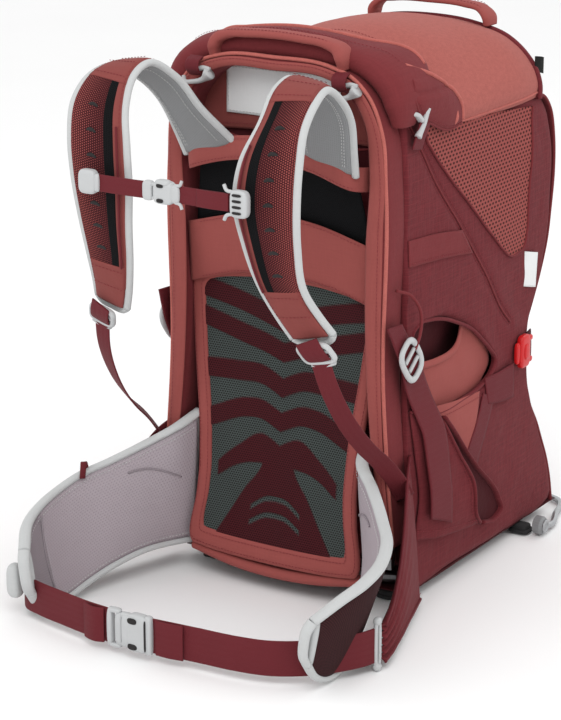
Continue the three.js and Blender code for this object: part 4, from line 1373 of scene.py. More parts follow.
# ---- rear ------------------------------------------------------------------------------------
REAR_PROFILE_UPPER = [(362, 286), (372, 308), (386, 328), (408, 364), (427, 404), (438, 450),
                      (446, 500), (445, 544), (432, 588), (414, 606), (388, 614)]
REAR_PROFILE_LOWER = [(455, 16), (448, 52), (437, 84), (420, 118), (404, 148), (384, 178), (368, 214),
                      (362, 250), (362, 288)]


def rear_sheet(profile, count_u, count_v, seed, swell):
    """The rear wall: its side profile carried across, swelling backward in the middle, with slack folds."""
    line = smooth(profile, count_v)
    u = np.linspace(-1, 1, count_u)
    half = np.interp(line[:, 1], [14, 613], [172, 162])
    x = u[:, None] * half[None]
    rise = np.sin(np.pi * np.linspace(0.06, 0.94, count_v))[None] ** 0.6
    bulge = swell * (1 - np.abs(u[:, None]) ** 2.6) * rise
    z = np.broadcast_to(line[None, :, 1], x.shape)
    wave = folds(x, z, seed, 60, 200) * 2.0 * (1 - np.abs(u[:, None]) ** 8)
    y = line[None, :, 0] + bulge + wave
    return join(x, y, z)


def make_rear():
    """Rear walls, crown, base, zip pocket, tags, loops and the rear handle."""
    upper = rear_sheet(REAR_PROFILE_UPPER, 100, 110, 51, 14.0)
    lower = rear_sheet(REAR_PROFILE_LOWER, 100, 90, 52, 12.0)
    sides = ["side_wall_left", "side_wall_right"]
    cloth("rear_wall", upper, "maroon_cloth", Y_AXIS, ["rear_panel"], plane="xz", on=sides)
    cloth("rear_pocket", lower, "maroon_cloth", Y_AXIS, ["rear_pocket_panel"], plane="xz", on=sides)
    x = np.linspace(-172, 172, 50)[:, None]
    y = np.linspace(40, 455, 60)[None]
    # The base is painted dark maroon: partly base cloth, partly painted shade under the pack.
    base = join(x, y, 15.0 + 0.8 * folds(x, y, 53))
    cloth("base_cloth", base, "lining_in_painted_shade", -Z_AXIS, ["bottom_panel"], plane="xy", thickness=0.002,
          on=["base_frame_tube"])

    flat = smooth(whole_arch([(166, 606), (166, 624), (160, 643), (146, 662), (118, 684), (66, 699),
                              (0, 704)]), 120)
    s = np.linspace(0, 1, 30)[None, :, None]
    mid = np.array([0.0, 606.0])
    face = mid * (1 - s) + flat[:, None] * s
    crown_y = 402.0 - 14 * s[..., 0] ** 3
    crown = join(face[..., 0], crown_y, face[..., 1])
    crown[..., 1] += folds(crown[..., 0], crown[..., 2], 54, 60, 160) * 1.2
    cloth("crown_wall", crown, "maroon_cloth", Y_AXIS, ["rear_crown"], plane="xz", flat=(334, 102))
    edge = join(flat[:, 0] * 1.005, 391.0, flat[:, 1] + 1.0)
    solid("crown_piping", sweep(edge, oval(5.0, 3.2, 12), Y_AXIS), "maroon_cloth")

    path = smooth(whole_arch([(90, 391, 699), (88, 391, 710), (78, 391, 720), (54, 391, 725),
                              (0, 391, 727)]), 100)
    grow = 1 + 0.25 * bump_line(np.abs(np.linspace(-1, 1, 100)) - 0.9, 0.12)
    solid("rear_grab_handle", sweep(path, oval(13, 4.4, 22, 3.0), Y_AXIS, scale=grow),
                   "coral_cloth", ["rear_handle"])
    rows = [(path[10:-10] + [0, dy, 4.4], Z_AXIS) for dy in (-10, 10)]
    stitches("rear_handle_stitches", rows)

    def along_rear(sheet, row, proud, first=6, last=-6):
        """A line that runs across a rear sheet at one row, standing proud of it."""
        return sheet[first:last, row] + [0, proud, 0]

    tape = sweep(along_rear(lower, 62, 1.4, 10, -10), oval(8.5, 0.7, 16, 6), Z_AXIS)
    solid("pocket_zip_tape", tape, "dark_webbing")
    line = along_rear(lower, 62, 2.6, 12, -12)
    bars = [(line + [0, 0, dz], Y_AXIS) for dz in (-1.1, 1.1)]
    teeth = np.concatenate([stitch_grids(p + [1.1 * k, 0, 0], n, 2.2, 1.5, 0.8, 0.0) for k,
                            (p, n) in enumerate(bars)])
    solid("pocket_zip_teeth", list(teeth), "hollow_shade_and_zip_teeth")
    pull_at = line[8]
    slider = round_block(pull_at + [-6, -1, -4.5], pull_at + [6, 4, 4.5], 3.0, 8, 14)
    tab = sweep(smooth([pull_at + [0, 4, -3], pull_at + [1, 6, -16], pull_at + [1, 5, -30]], 16),
                oval(3.4, 1.1, 12, 4), X_AXIS)
    solid("pocket_zip_pull", [slider, tab], "hub_plastic")
    seams = [sweep(along_rear(sheet, row, 0.6, 3, -3), oval(1.6, 1.6, 8), Z_AXIS)
             for sheet, row in ((upper, 40), (upper, 86), (lower, 78))]
    solid("rear_seams", seams, "collar_cloth")
    rows = [(along_rear(upper, 36, 1.4), Y_AXIS), (along_rear(upper, 90, 1.4), Y_AXIS),
            (along_rear(lower, 82, 1.4), Y_AXIS)]
    stitches("rear_stitches", rows)
    corner = [sweep(sheet[k] + [0, 0.5, 0], oval(2.4, 2.0, 8), X_AXIS) for sheet in (upper, lower)
              for k in (0, -1)]
    solid("rear_corner_seams", corner, "collar_cloth")

    def tag(name, corners, paint, bend):
        """A folded tag sewn in a seam, given by its four corners."""
        a, b, c, d = (np.array(k, float) for k in corners)
        u = np.linspace(0, 1, 14)[:, None, None]
        v = np.linspace(0, 1, 14)[None, :, None]
        grid = (a * (1 - u) + b * u) * (1 - v) + (d * (1 - u) + c * u) * v
        grid = grid + np.array(bend, float) * np.sin(np.pi * u) * 0.5
        cloth(name, grid, paint, bend, slot="pale_plastic", thickness=0.0008)

    tag("plain_dark_tag", [(160, 388, 664), (163, 408, 660), (163, 408, 638), (160, 388, 642)],
        "tag_cloth", (3, 0, 1))
    tag("blank_white_tag", [(172, 349, 406), (176, 382, 398), (176, 378, 350), (172, 345, 358)],
        "label_cloth", (4, 0, 0))
    for name, side in SIDES:
        for label, y, z in (("upper", 446, 505), ("lower", 434, 92)):
            wide = sweep(smooth([(side * 150, y, z + 12), (side * 151, y + 12, z + 8),
                                 (side * 152, y + 14, z - 8), (side * 150, y + 2, z - 13)], 24),
                         oval(7, 1.0, 14, 5), X_AXIS)
            solid(f"rear_loop_{name}_{label}", wide, "dark_webbing")


# ---- shoulder harness ------------------------------------------------------------------------
STRAP_EDGES = (((50, -20, 596), (124, -19, 574)), ((56, -36, 612), (129, -32, 604)),
               ((70, -66, 645), (139, -58, 653)), ((86, -98, 689), (146, -94, 684)),
               ((99, -132, 710), (152, -134, 702)), ((100, -165, 700), (160, -170, 695)),
               ((97, -188, 667), (163, -201, 668)), ((82, -208, 620), (162, -211, 625)),
               ((77, -212, 577), (159, -211, 583)), ((84, -204, 525), (155, -203, 528)),
               ((95, -188, 472), (154, -188, 475)), ((110, -170, 430), (163, -166, 438)),
               ((122, -158, 404), (172, -150, 414)))
STRAP_HOLLOW = np.array([110.0, -112.0, 560.0])


PAD_POWER = 3.2
NOSE_REACH = 9.0


class Pad:
    """A long pad between two edges. A point is its middle line plus a share of its half width across and a
    distance out along the normal, which faces away from a hollow."""

    def __init__(self, edge_a, edge_b, count, hollow):
        a, b = smooth(edge_a, count), smooth(edge_b, count)
        self.middle = (a + b) / 2
        self.half = np.linalg.norm(b - a, axis=1) / 2
        self.across = unit(b - a)
        tangent = unit(np.gradient(self.middle, axis=0))
        normal = unit(np.cross(tangent, self.across))
        if ((self.middle - hollow) * normal).sum() < 0:
            normal = -normal
        self.normal, self.tangent = normal, tangent
        self.t = np.linspace(0, 1, count)

    def at(self, t, share, out):
        """Points at places t along, share across and out proud, all as arrays that fit together."""
        t, share, out = np.broadcast_arrays(np.asarray(t, float), share, out)
        middle, across, normal = (read_at(t, self.t, k) for k in (self.middle, self.across, self.normal))
        half = np.interp(t, self.t, self.half)
        return middle + across * (half * share)[..., None] + normal * out[..., None]

    def normal_at(self, t):
        """The normal at the station nearest below a place along the pad."""
        return self.normal[int(t * (len(self.t) - 1))]

    def nose(self, first, share, reach):
        """The rounded line round the far end, from the edge at share first to the other edge."""
        stops = ((first, 0.0), (first * share, reach), (0.0, NOSE_REACH), (-first * share, reach),
                 (-first, 0.0))
        return smooth([self.at(1.0, k, 0.0) + self.tangent[-1] * far for k, far in stops], 40)

    def body(self, thickness, power=PAD_POWER, sides=32):
        """The stuffed body: a superellipse at each station, thinner at the very ends."""
        ring = oval(1, 1, sides, power)
        ends = np.clip(np.minimum(self.t, 1 - self.t) / 0.02, 0.25, 1) ** 0.5
        return self.at(self.t[:, None], ring[None, :, 0], ring[None, :, 1] * thickness / 2 * ends[:, None])

    def face(self, t0, t1, a0, a1, out, nu, nv):
        """A skin laid on the pad from t0 to t1 along and from a0 to a1 across, on its superellipse."""
        share = a0 + (a1 - a0) * np.linspace(0, 1, nv)[None]
        lift = out * (1 - np.abs(share) ** PAD_POWER) ** (1 / PAD_POWER)
        return self.at(np.linspace(t0, t1, nu)[:, None], share, lift)


def make_harness():
    """Shoulder straps with lining, nets, patches, piping, locks and lower webbing."""
    thick = sizes().strap_pad / MM
    radius = sizes().piping / MM
    half = thick / 2
    for name, side in SIDES:
        inner, outer = handed(np.array(STRAP_EDGES, float).transpose(1, 0, 2), side)
        pad = Pad(inner, outer, 150, handed(STRAP_HOLLOW, side))
        solid(f"strap_pad_{name}", pad.body(thick), "collar_cloth", [f"shoulder_strap_{name}"],
                      body="harness")
        out = half + 0.9
        skins = (
            ("top_net", "strap_net", "strap_mesh", 0.02, 0.34, -0.95, 0.93, out, 60, 20),
            ("outer_net", "strap_net", "strap_mesh", 0.33, 0.88, -0.30, 0.93, out, 100, 16),
            ("black_strip", "black_net", "black_mesh", 0.33, 0.90, -0.62, -0.28, out + 0.2, 90, 8),
            ("inner_strip", "coral_shade", "coral_fabric", 0.33, 0.93, -0.96, -0.60, out + 0.1, 90, 8),
            ("shoulder_patch", "coral_shade", "coral_fabric", 0.31, 0.42, -0.96, 0.95, out + 0.7, 24, 20),
            ("tip_patch", "coral_shade", "coral_fabric", 0.86, 0.995, -0.90, 0.90, out + 0.7, 24, 20),
            ("lining", "strap_lining", "hip_padding", 0.01, 0.99, -0.95, 0.95, -out, 140, 20),
        )
        for label, paint, slot, t0, t1, a0, a1, lift, nu, nv in skins:
            grid = pad.face(t0, t1, a0, a1, lift, nu, nv)
            face_out = pad.normal_at((t0 + t1) / 2) * np.sign(lift)
            cloth(f"strap_{label}_{name}", grid, paint, face_out, body="harness", slot=slot,
                  thickness=0.0008, on=[f"strap_pad_{name}"])
        for share, label in ((-1.0, "inner"), (1.0, "outer")):
            edge = pad.at(pad.t, share, 0.0)
            solid(f"strap_piping_{label}_{name}",
                  sweep(edge, oval(radius, radius * 1.15, 14), pad.normal), "pale_binding",
                  body="harness")
        tip = pad.nose(-1.0, 0.75, 7.0)
        solid(f"strap_piping_tip_{name}", sweep(tip, oval(radius, radius * 1.1, 12), pad.normal[-1]),
              "pale_binding", body="harness")
        lining_rows = [(pad.at(np.linspace(0.03, 0.97, 140), share, -(half + 1.6)), -pad.normal[:140])
                       for share in (-0.66, 0.66, 0.74)]
        stitches(f"strap_lining_stitches_{name}", lining_rows, paint="pale_thread",
                 body="harness")
        cross = [(pad.at(t, np.linspace(-0.85, 0.85, 20), half + 2.0),
                  pad.normal_at(t)) for t in (0.325, 0.36, 0.405, 0.875, 0.93)]
        edge_rows = [(pad.at(np.linspace(0.30, 0.93, 110), share, half * 0.8 + 1.2),
                      pad.normal_at(0.6)) for share in (-0.86, 0.86)]
        stitches(f"strap_stitches_{name}", cross + edge_rows, body="harness")
        # Painted shade: dark lens shapes on the strap where its vents are.
        pockets = [pad.at(0.49 + 0.055 * k, 0.16, half + 1.3) for k in range(7)]
        lens = [sweep(smooth([p - pad.across[100] * 7, p + [0, 0, 2.0], p + pad.across[100] * 7], 10),
                      oval(2.6, 0.8, 8), pad.tangent[100],
                      scale=np.sin(np.pi * np.linspace(0.06, 0.94, 10)) ** 0.6) for p in pockets]
        solid(f"strap_vent_shade_{name}", lens, "hollow_shade_and_zip_teeth", body="harness")
        rail = pad.at(np.linspace(0.52, 0.86, 90), -0.78, half + 2.6)
        solid(f"sternum_rail_{name}", sweep(rail, oval(1.6, 1.3, 8), pad.across[80]), "maroon_webbing",
              body="harness")
        make_ladder_lock(name, side, pad)


def plate_frame(centre, across, along, width, height, radius, bars=()):
    """A moulded frame in the plane of across and along: a rounded rectangle of tube, and its cross bars."""
    across, along = unit(np.asarray(across, float)), unit(np.asarray(along, float))
    normal = unit(np.cross(across, along))
    flat = oval(width / 2 - radius, height / 2 - radius, 56, 4.5)
    ring = np.asarray(centre, float) + flat[:, :1] * across + flat[:, 1:] * along
    tube = sweep(ring, oval(radius, radius * 0.85, 12), normal, closed=True)
    rods = []
    for shift, size in bars:
        ends = [np.asarray(centre, float) + along * shift + across * k * (width / 2 - radius)
                for k in (-1, 0, 1)]
        rods.append(sweep(smooth(ends, 12), oval(size, size * 0.8, 12, 2.6), normal))
    return tube, rods


def make_ladder_lock(name, side, pad):
    """The lock at the strap's tip and the webbing that runs from it to the pack's side."""
    at = np.array([side * 157.0, -162.0, 391.0])
    across = unit(pad.across[-1])
    along = unit(pad.tangent[-1])
    ring, bars = plate_frame(at, across, along, 46, 34, 4.0, [(-3, 3.2), (9, 2.6)])
    thumb = sweep(smooth([at - across * 15 + along * 16, at + along * 19, at + across * 15
                          + along * 16], 20), oval(4.0, 2.6, 12), pad.normal[-1])
    lock = make_mesh(f"lock_frame_{name}", ring, "pale_plastic", wrap_u=True, wrap_v=True)
    settle(lock, "harness", [f"ladder_lock_{name}"])
    solid(f"lock_bars_{name}", bars + [thumb], "pale_plastic", body="harness")
    wrap = smooth([at - along * 22 + pad.normal[-1] * 3, at - along * 8 + pad.normal[-1] * 5.5, at
                   + along * 2 + pad.normal[-1] * 5, at + along * 11 + pad.normal[-1] * 2], 24)
    solid(f"lock_wrap_{name}", sweep(wrap, oval(15, 1.2, 20, 6), across), "maroon_webbing",
          body="harness")
    run = smooth([(side * 159, -160, 388), (side * 165, -150, 352), (side * 172, -118, 296),
                  (side * 176, -78, 252), (side * 178, -42, 222), (side * 181, -10, 190),
                  (side * 182, 14, 160)], 80)
    lean = unit(np.array([[side * 0.55, 0.75, 0.3]]))
    lean = across * np.linspace(1, 0.2, 80)[:, None] + lean * np.linspace(0, 0.8, 80)[:, None]
    strap = make_mesh(f"lower_strap_{name}", sweep(run, oval(12.5, 1.2, 20, 6), lean), "maroon_webbing",
                      wrap_v=True, caps=True)
    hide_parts(f"lower_webbing_{name}")
    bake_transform(strap)


CHEST = np.array([0.0, -234.0, 581.0])


def chest_piece(name, grids, paint="pale_plastic", replaces=(), body="sternum_strap"):
    """A piece of the chest strap, its grids measured from the strap's middle."""
    return solid(name, [grid + CHEST for grid in grids], paint, replaces, body=body)


def paired(make):
    """What make gives for the lower side, -1, and the upper side, 1."""
    return [make(-1), make(1)]


def make_sternum():
    """Chest strap: rail sliders, webbing and the whistle buckle."""
    section = oval(10.5, 1.3, 20, 6)
    clips = [round_block((-131, -9, -15), (-106, 5, 15), 4.0),
             round_block((-109, -7, -11), (-101, 1, 11), 3.5)]
    chest_piece("chest_slider_left", clips, replaces=["sternum_slider_left"])
    comb = round_block((86, -9, -17), (110, 5, 16), 4.0)
    horns = paired(lambda s: cord_grid([(90, -4, s * 13), (82, -6, s * 15), (78, -5, s * 21)], 2.2, 16))
    chest_piece("chest_slider_right", [comb] + horns, replaces=["sternum_slider_right"])
    # Painted shade: thin dark plates in the slider's slots.
    slots = [round_block((91, -10.2, z), (104, -8.4, z + 3.4), 3.0, 6, 12) for z in (-12, -5, 2, 9)]
    chest_piece("chest_slider_slot_shade", slots, "hollow_shade_and_zip_teeth")
    right = smooth([(14, -2, 0), (40, -3.5, 0), (64, -3, 0), (88, -2, 0)], 50)
    chest_piece("chest_webbing_right", [sweep(right, section, Z_AXIS)], "maroon_webbing",
                ["sternum_webbing_right"])
    fold = smooth([(40, -5, 0), (60, -6.2, 0), (84, -5, 0)], 30)
    chest_piece("chest_webbing_end", [sweep(fold, section, Z_AXIS)], "maroon_webbing")
    left = smooth([(-104, -2, 0), (-80, -3, 0), (-58, -3, 0), (-37, -2, 0)], 50)
    strap = chest_piece("chest_webbing_left", [sweep(left, section, Z_AXIS)], "maroon_webbing",
                        ["sternum_webbing_left"])
    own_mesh(strap)
    body = round_block((-22, -9, -14), (6, 6, 14), 4.2)
    throat = round_block((-4, -7, -11), (15, 4, 11), 3.6)
    whistle = round_block((-18, -10, 9), (2, 2, 16), 3.0)
    horns = paired(lambda s: cord_grid([(8, -3, s * 10), (16, -4, s * 12), (18, -4, s * 17)], 2.0, 16))
    chest_piece("whistle_buckle", [body, throat, whistle] + horns, replaces=["sternum_buckle_female"])
    # Painted shade: thin dark plates in the buckle's hollows.
    hollows = paired(lambda s: round_block((-15, -10.4, s * 9 - 2.5), (-5, -8.2, s * 9 + 2.5), 2.6, 6, 14))
    chest_piece("whistle_buckle_hollow_shade", hollows, "hollow_shade_and_zip_teeth")
    plug = round_block((-38, -7, -12), (-24, 4, 12), 4.0)
    prongs = paired(lambda s: round_block((-28, -5, s * 8 - 2.2), (-14, 1, s * 8 + 2.2), 3.0, 8, 14))
    chest_piece("chest_plug", [plug] + prongs, replaces=["sternum_buckle_male"], body="sternum_plug")


# ---- hip belt --------------------------------------------------------------------------------
WING_TOP = [(128, 8, 222), (140, -24, 208), (169, -48, 188), (206, -86, 165), (231, -118, 151),
            (242, -149, 139), (243, -193, 127), (233, -231, 116), (214, -262, 96)]
WING_LOW = [(140, 12, 40), (156, -26, 42), (168, -60, 42), (186, -110, 32), (200, -150, 18), (206, -190, 8),
            (206, -222, 8), (206, -246, 20), (206, -262, 40)]
WING_HOLLOW = np.array([0.0, -60.0, 90.0])


def make_hip_belt():
    """Padded wings with lining, nets and binding, the gathered fins, webbing, bars and buckle."""
    thick = sizes().belt_pad / MM
    for name, side in SIDES:
        low, top = (handed(np.array(edge, float), side) for edge in (WING_LOW, WING_TOP))
        pad = Pad(low, top, 110, WING_HOLLOW)
        solid(f"wing_pad_{name}", pad.body(thick, 3.4, 40), "pale_binding", [f"hip_wing_{name}"])
        out = thick / 2 + 0.9
        skins = (
            ("lining", "lavender_mesh", "hip_padding", 0.02, 0.80, -0.95, 0.95, -out),
            ("tip_lining", "wing_patch", "hip_padding", 0.79, 0.975, -0.92, 0.92, -out),
            ("outer_net", "wing_net", "black_mesh", 0.30, 0.975, -0.93, 0.93, out),
            ("outer_cloth", "maroon_cloth", "maroon_ripstop", 0.0, 0.32, -0.95, 0.95, out),
        )
        for label, paint, slot, t0, t1, a0, a1, lift in skins:
            grid = pad.face(t0, t1, a0, a1, lift, 60, 30)
            face_out = pad.normal_at((t0 + t1) / 2) * np.sign(lift)
            cloth(f"wing_{label}_{name}", grid, paint, face_out, slot=slot, thickness=0.0008,
                  on=[f"wing_pad_{name}"])
        up = pad.at(pad.t, 1.0, 0.0)
        down = pad.at(pad.t, -1.0, 0.0)
        nose = pad.nose(1.0, 0.7, 6.0)
        bindings = [sweep(up, oval(5.0, 8.0, 14), pad.across), sweep(down, oval(5.0, 8.0, 14), pad.across),
                    sweep(nose, oval(8.0, 5.0, 14), pad.normal[-1])]
        solid(f"wing_binding_{name}", bindings, "pale_binding")
        dart_t = np.linspace(0.10, 0.34, 40)
        dart = pad.at(dart_t, 0.15 + 0.5 * np.sin((dart_t - 0.10) / 0.24 * 1.5), -(thick / 2 + 1.5))
        split = pad.at(0.79 + 0.03 * np.sin(np.linspace(0, np.pi, 40)), np.linspace(-0.9, 0.9, 40),
                       -(thick / 2 + 1.6))
        inner_edge = [pad.at(np.linspace(0.04, 0.95, 120), share, -(thick / 2 + 0.6))
                      for share in (-0.86, 0.86)]
        rows = [(line, -pad.normal[40]) for line in [dart, split] + inner_edge]
        stitches(f"wing_stitches_{name}", rows, paint="pale_thread")
        solid(f"wing_seams_{name}",
              [sweep(line, oval(1.2, 1.2, 8), pad.normal[40]) for line in (dart, split)], "wing_patch")
        make_fin(name, side)
        ring, _ = plate_frame((side * 241, -155, 35), (0, 0, 1), (side * 0.2, 1, 0), 62, 13, 3.0)
        knobs = [round_block((side * 241 - 5, -161, z - 5), (side * 241 + 5, -149, z + 5), 2.4, 10, 16)
                 for z in (5, 65)]
        bar = make_mesh(f"belt_bar_{name}", ring, "pale_plastic", wrap_u=True, wrap_v=True)
        settle(bar, "carrier", [f"hip_adjuster_{name}"])
        solid(f"belt_bar_ends_{name}", knobs, "pale_plastic")
    left_loop = sweep(smooth([(-226, -112, 156), (-227, -114, 166), (-224, -120, 170),
                              (-221, -126, 160), (-222, -126, 150)], 24), oval(4, 0.9, 12, 4),
                      (0.6, 0.8, 0))
    solid("belt_keeper_loop", left_loop, "maroon_webbing")
    end = round_block((-245, -266, 26), (-225, -245, 72), 3.2)
    solid("belt_end_tab", end, "pale_binding")
    make_belt_webbing()


def make_fin(name, side):
    """The stabiliser fin from the pack's side to the belt bar: a cloth that gathers into pleats."""
    t = np.linspace(0, 1, 60)[:, None]
    v = np.linspace(0, 1, 44)[None]
    low = np.interp(t, [0, 0.35, 1], [14, 16, 12])
    high = read_line(((0, 206), (0.2, 186), (0.45, 132), (0.75, 84), (1, 60)), t)
    z = low + (high - low) * v
    y = 40 - 190 * t
    base_x = np.interp(t, [0, 0.3, 0.6, 0.85, 1], [186, 207, 226, 240, 246])
    flare = -0.10 * (z - 70) * (1 - t)
    pleat = 3.4 * np.sin(v * 5 * 2 * np.pi + 1.2 * t) * t**1.6
    belly = 9 * np.sin(np.pi * v) * (1 - t) ** 0.5 * t**0.4
    x = base_x + flare + pleat + belly
    grid = join(x, y, z)
    cloth(f"belt_fin_{name}", grid, "maroon_cloth", X_AXIS, [f"hip_fin_{name}"], side=side,
          thickness=0.0018, on=[f"wing_pad_{name}"])
    hems = [sweep(grid[:, k] + [0.5, 0, 0], oval(2.2, 1.8, 10), Z_AXIS) for k in (0, -1)]
    solid(f"belt_fin_hems_{name}", hems, "maroon_webbing", side=side)
    rows = [(handed(grid[:, k] + [1.2, 0, 0], side), X_AXIS * side) for k in (2, -3)]
    stitches(f"belt_fin_stitches_{name}", rows)


BELT_Z = 34.0
BELT_HALF = 23.0
BUCKLE = np.array([0.0, -280.0, BELT_Z])


def belt_web(name, points, count, replaces=()):
    """Flat webbing carried along a line round the belt, given by its (x, y) places."""
    line = smooth([(x, y, BELT_Z) for x, y in points], count)
    return solid(name, sweep(line, oval(BELT_HALF, 1.3, 24, 7), Z_AXIS), "maroon_webbing", replaces)


def buckle_block(lo, hi, *shape):
    """A rounded block of the buckle, its corners measured from the buckle's middle."""
    return round_block(lo + BUCKLE, hi + BUCKLE, *shape)


def make_belt_webbing():
    """The belt's webbing round the front, its doubled ends and the large side release buckle."""
    belt_web("belt_webbing_right",
             [(240, -158), (234, -176), (216, -206), (184, -240), (150, -260), (110, -269), (60, -273),
              (-8, -279)], 140, ["hip_webbing_right"])
    belt_web("belt_webbing_end_right", [(2, -282), (20, -282), (40, -279)], 30)
    left = belt_web("belt_webbing_left",
                    [(-66, -280), (-100, -277), (-150, -268), (-196, -258), (-224, -248), (-240, -226),
                     (-246, -192), (-240, -158)], 140, ["hip_webbing_left"])
    fold = belt_web("belt_webbing_fold_left", [(-75, -283.5), (-86, -287), (-98, -285), (-106, -281.5)], 30)
    for piece in (left, fold):
        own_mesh(piece)
    shell = buckle_block((-40, -9, -25), (-8, 8, 25), 4.2, 18, 32)
    mouth = buckle_block((-47, -8, -21), (-32, 7, 21), 5.0, 14, 28)
    tail = buckle_block((-14, -7, -26), (-3, 5, 26), 4.0, 14, 28)
    solid("belt_buckle_shell", [shell, mouth, tail], "pale_plastic", ["hip_buckle_female"])
    # Painted shade: thin dark plates in the buckle's hollows and in the gap beside its bar.
    hollows = paired(lambda s: buckle_block((-36, -10, s * 17 - 4), (-22, -7.6, s * 17 + 4), 2.6, 8, 18))
    bar_gap_shade = buckle_block((-12.5, -8.4, -21), (-9.5, -6.0, 21), 3.0, 8, 14)
    solid("belt_buckle_hollow_shade", hollows + [bar_gap_shade], "hollow_shade_and_zip_teeth")
    stem = buckle_block((-58, -6, -22), (-47.5, 5, 22), 4.0, 14, 28)
    back_bar = buckle_block((-70, -7, -26), (-62, 5, 26), 3.4, 14, 24)
    arms = paired(lambda s: buckle_block((-68, -6, s * 23 - 3), (-50, 4, s * 23 + 3), 3.0, 10, 18))
    prongs = paired(lambda s: buckle_block((-52, -5, s * 19 - 4), (-28, 4, s * 19 + 4), 3.0, 12, 20))
    solid("belt_plug", [stem, back_bar] + arms + prongs, "pale_plastic", ["hip_buckle_male"],
          body="hip_plug")


# ---- frame and kickstand ---------------------------------------------------------------------
def make_metal():
    """Gives the tubes, feet and pivot caps their finishes and adds the pivot bolts."""
    for node, paint in (
        ("main_frame_tube", "aluminium"), ("base_frame_tube", "aluminium"), ("kickstand_loop", "aluminium"),
        ("kickstand_cap_left", "hub_plastic"),
        ("kickstand_cap_right", "hub_plastic"),
    ):
        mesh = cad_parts[node].data
        mesh.materials.clear()
        mesh.materials.append(PAINT[paint])
        mesh.shade_smooth()
        mesh.set_sharp_from_angle(angle=math.radians(40))
    for name, side in SIDES:
        for end, y0, y1, x0, x1 in (("front", 40, 78, 122, 150), ("rear", 344, 372, 160, 190)):
            sole = round_block((x0, y0, 0.3), (x1, y1, 7.0), 4.0, 10, 24)
            heel = round_block((x0 + 3, y0 + 3, 3.0), (x1 - 3, y1 - 3, 13.0), 4.0, 10, 24)
            solid(f"{end}_rubber_{name}", [sole, heel], "foot_rubber", [f"{end}_foot_{name}"],
                  side=side)
        radius = np.array([0.5, 8.0, 9.4, 9.8, 9.4, 8.2, 5.6, 5.0, 4.0, 0.4])
        height = np.array([209.5, 209.6, 210.2, 211.2, 212.0, 212.4, 212.4, 211.2, 211.0, 211.0])
        ring = oval(1, 1, 28)
        cap = np.stack([np.broadcast_to((height * side)[:, None], (10, 28)), 362
                        + radius[:, None] * ring[None, :, 0], 14 + radius[:, None] * ring[None, :, 1]],
                       axis=-1)
        solid(f"pivot_bolt_{name}", cap, "aluminium", body="kickstand")


# ---- operators, panel and the run ------------------------------------------------------------
class CarrierFinishesOperator(bpy.types.Operator):
    """Mixes every finish of the carrier from its colours"""

    bl_idname = "carrier.finishes"
    bl_label = "Finishes"

    def execute(self, context):
        make_finishes(context.scene.carrier_colours)
        return {"FINISHED"}


class CarrierStageOperator(bpy.types.Operator):
    """Sets the floor, lamps and camera"""

    bl_idname = "carrier.stage"
    bl_label = "Stage"

    def execute(self, context):
        make_stage()
        return {"FINISHED"}


class CarrierBackPanelOperator(bpy.types.Operator):
    """Sews the suspended back panel and the panels above it"""

    bl_idname = "carrier.back_panel"
    bl_label = "Back panel"

    def execute(self, context):
        make_back_panel()
        return {"FINISHED"}


class CarrierRimOperator(bpy.types.Operator):
    """Sews the arched rim, the collar, the front handle and the stow hooks"""

    bl_idname = "carrier.rim"
    bl_label = "Rim and collar"

    def execute(self, context):
        make_rim()
        return {"FINISHED"}


class CarrierHoodOperator(bpy.types.Operator):
    """Sews the hood"""

    bl_idname = "carrier.hood"
    bl_label = "Hood"

    def execute(self, context):
        make_hood()
        return {"FINISHED"}


class CarrierSideWallsOperator(bpy.types.Operator):
    """Sews the side walls with their nets and leg openings"""

    bl_idname = "carrier.side_walls"
    bl_label = "Side walls"

    def execute(self, context):
        make_side_walls()
        return {"FINISHED"}


class CarrierSideGearOperator(bpy.types.Operator):
    """Hangs the stirrups, compression webbing and buckles on the sides"""

    bl_idname = "carrier.side_gear"
    bl_label = "Side gear"

    def execute(self, context):
        make_side_gear()
        return {"FINISHED"}


class CarrierCockpitOperator(bpy.types.Operator):
    """Fits the child's seat, back rest and liners"""

    bl_idname = "carrier.cockpit"
    bl_label = "Cockpit"

    def execute(self, context):
        make_cockpit()
        return {"FINISHED"}


class CarrierRearOperator(bpy.types.Operator):
    """Sews the rear walls, pocket, crown, base and rear handle"""

    bl_idname = "carrier.rear"
    bl_label = "Rear"

    def execute(self, context):
        make_rear()
        return {"FINISHED"}


class CarrierHarnessOperator(bpy.types.Operator):
    """Pads the shoulder straps and fits their locks and webbing"""

    bl_idname = "carrier.harness"
    bl_label = "Harness"

    def execute(self, context):
        make_harness()
        return {"FINISHED"}


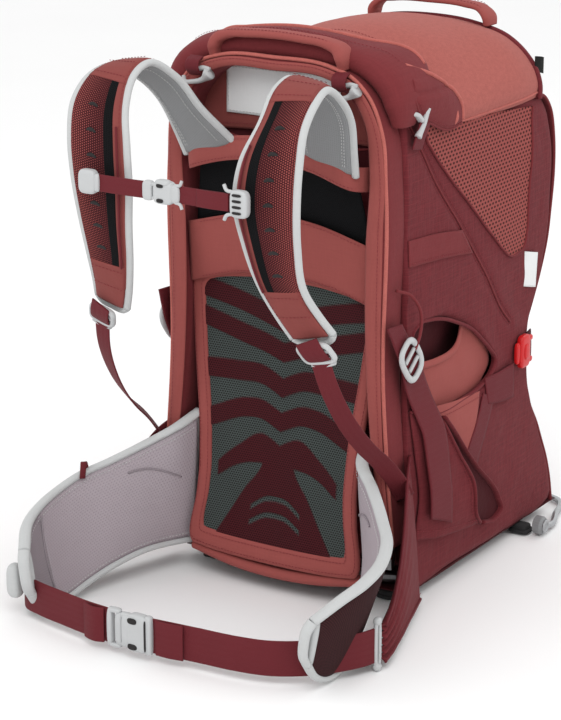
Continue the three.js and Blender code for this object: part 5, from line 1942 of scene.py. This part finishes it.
class CarrierSternumOperator(bpy.types.Operator):
    """Fits the chest strap with its whistle buckle"""

    bl_idname = "carrier.sternum"
    bl_label = "Chest strap"

    def execute(self, context):
        make_sternum()
        return {"FINISHED"}


class CarrierHipBeltOperator(bpy.types.Operator):
    """Pads the hip wings and fits the belt webbing and buckle"""

    bl_idname = "carrier.hip_belt"
    bl_label = "Hip belt"

    def execute(self, context):
        make_hip_belt()
        return {"FINISHED"}


class CarrierMetalOperator(bpy.types.Operator):
    """Finishes the frame, feet and kickstand"""

    bl_idname = "carrier.metal"
    bl_label = "Frame and kickstand"

    def execute(self, context):
        make_metal()
        return {"FINISHED"}


STEPS = (
    CarrierFinishesOperator, CarrierStageOperator, CarrierBackPanelOperator, CarrierRimOperator,
    CarrierHoodOperator, CarrierSideWallsOperator, CarrierSideGearOperator, CarrierCockpitOperator,
    CarrierRearOperator, CarrierHarnessOperator, CarrierSternumOperator, CarrierHipBeltOperator,
    CarrierMetalOperator,
)


class CarrierPanel(bpy.types.Panel):
    """Sizes, colours and the building steps"""

    bl_idname = "VIEW3D_PT_carrier"
    bl_label = "Child carrier"
    bl_space_type = "VIEW_3D"
    bl_region_type = "UI"
    bl_category = "Carrier"

    def draw(self, context):
        """Lists the sizes, the colours and a button for each step."""
        scene = context.scene
        for group in (scene.carrier_sizes, scene.carrier_colours):
            box = self.layout.box()
            for name in group.__annotations__:
                box.prop(group, name)
        for step in STEPS:
            self.layout.operator(step.bl_idname)


CLASSES = (CarrierSizes, CarrierColours, *STEPS, CarrierPanel)


def register():
    """Adds the classes and the scene's sizes and colours."""
    for cls in CLASSES:
        bpy.utils.register_class(cls)
    bpy.types.Scene.carrier_sizes = bpy.props.PointerProperty(type=CarrierSizes)
    bpy.types.Scene.carrier_colours = bpy.props.PointerProperty(type=CarrierColours)


def unregister():
    """Takes them away again."""
    del bpy.types.Scene.carrier_colours
    del bpy.types.Scene.carrier_sizes
    for cls in reversed(CLASSES):
        bpy.utils.unregister_class(cls)


def main():
    """Registers the add-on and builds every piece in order."""
    register()
    for step in STEPS:
        group, name = step.bl_idname.split(".")
        getattr(getattr(bpy.ops, group), name)()


if __name__ == "__main__":
    main()
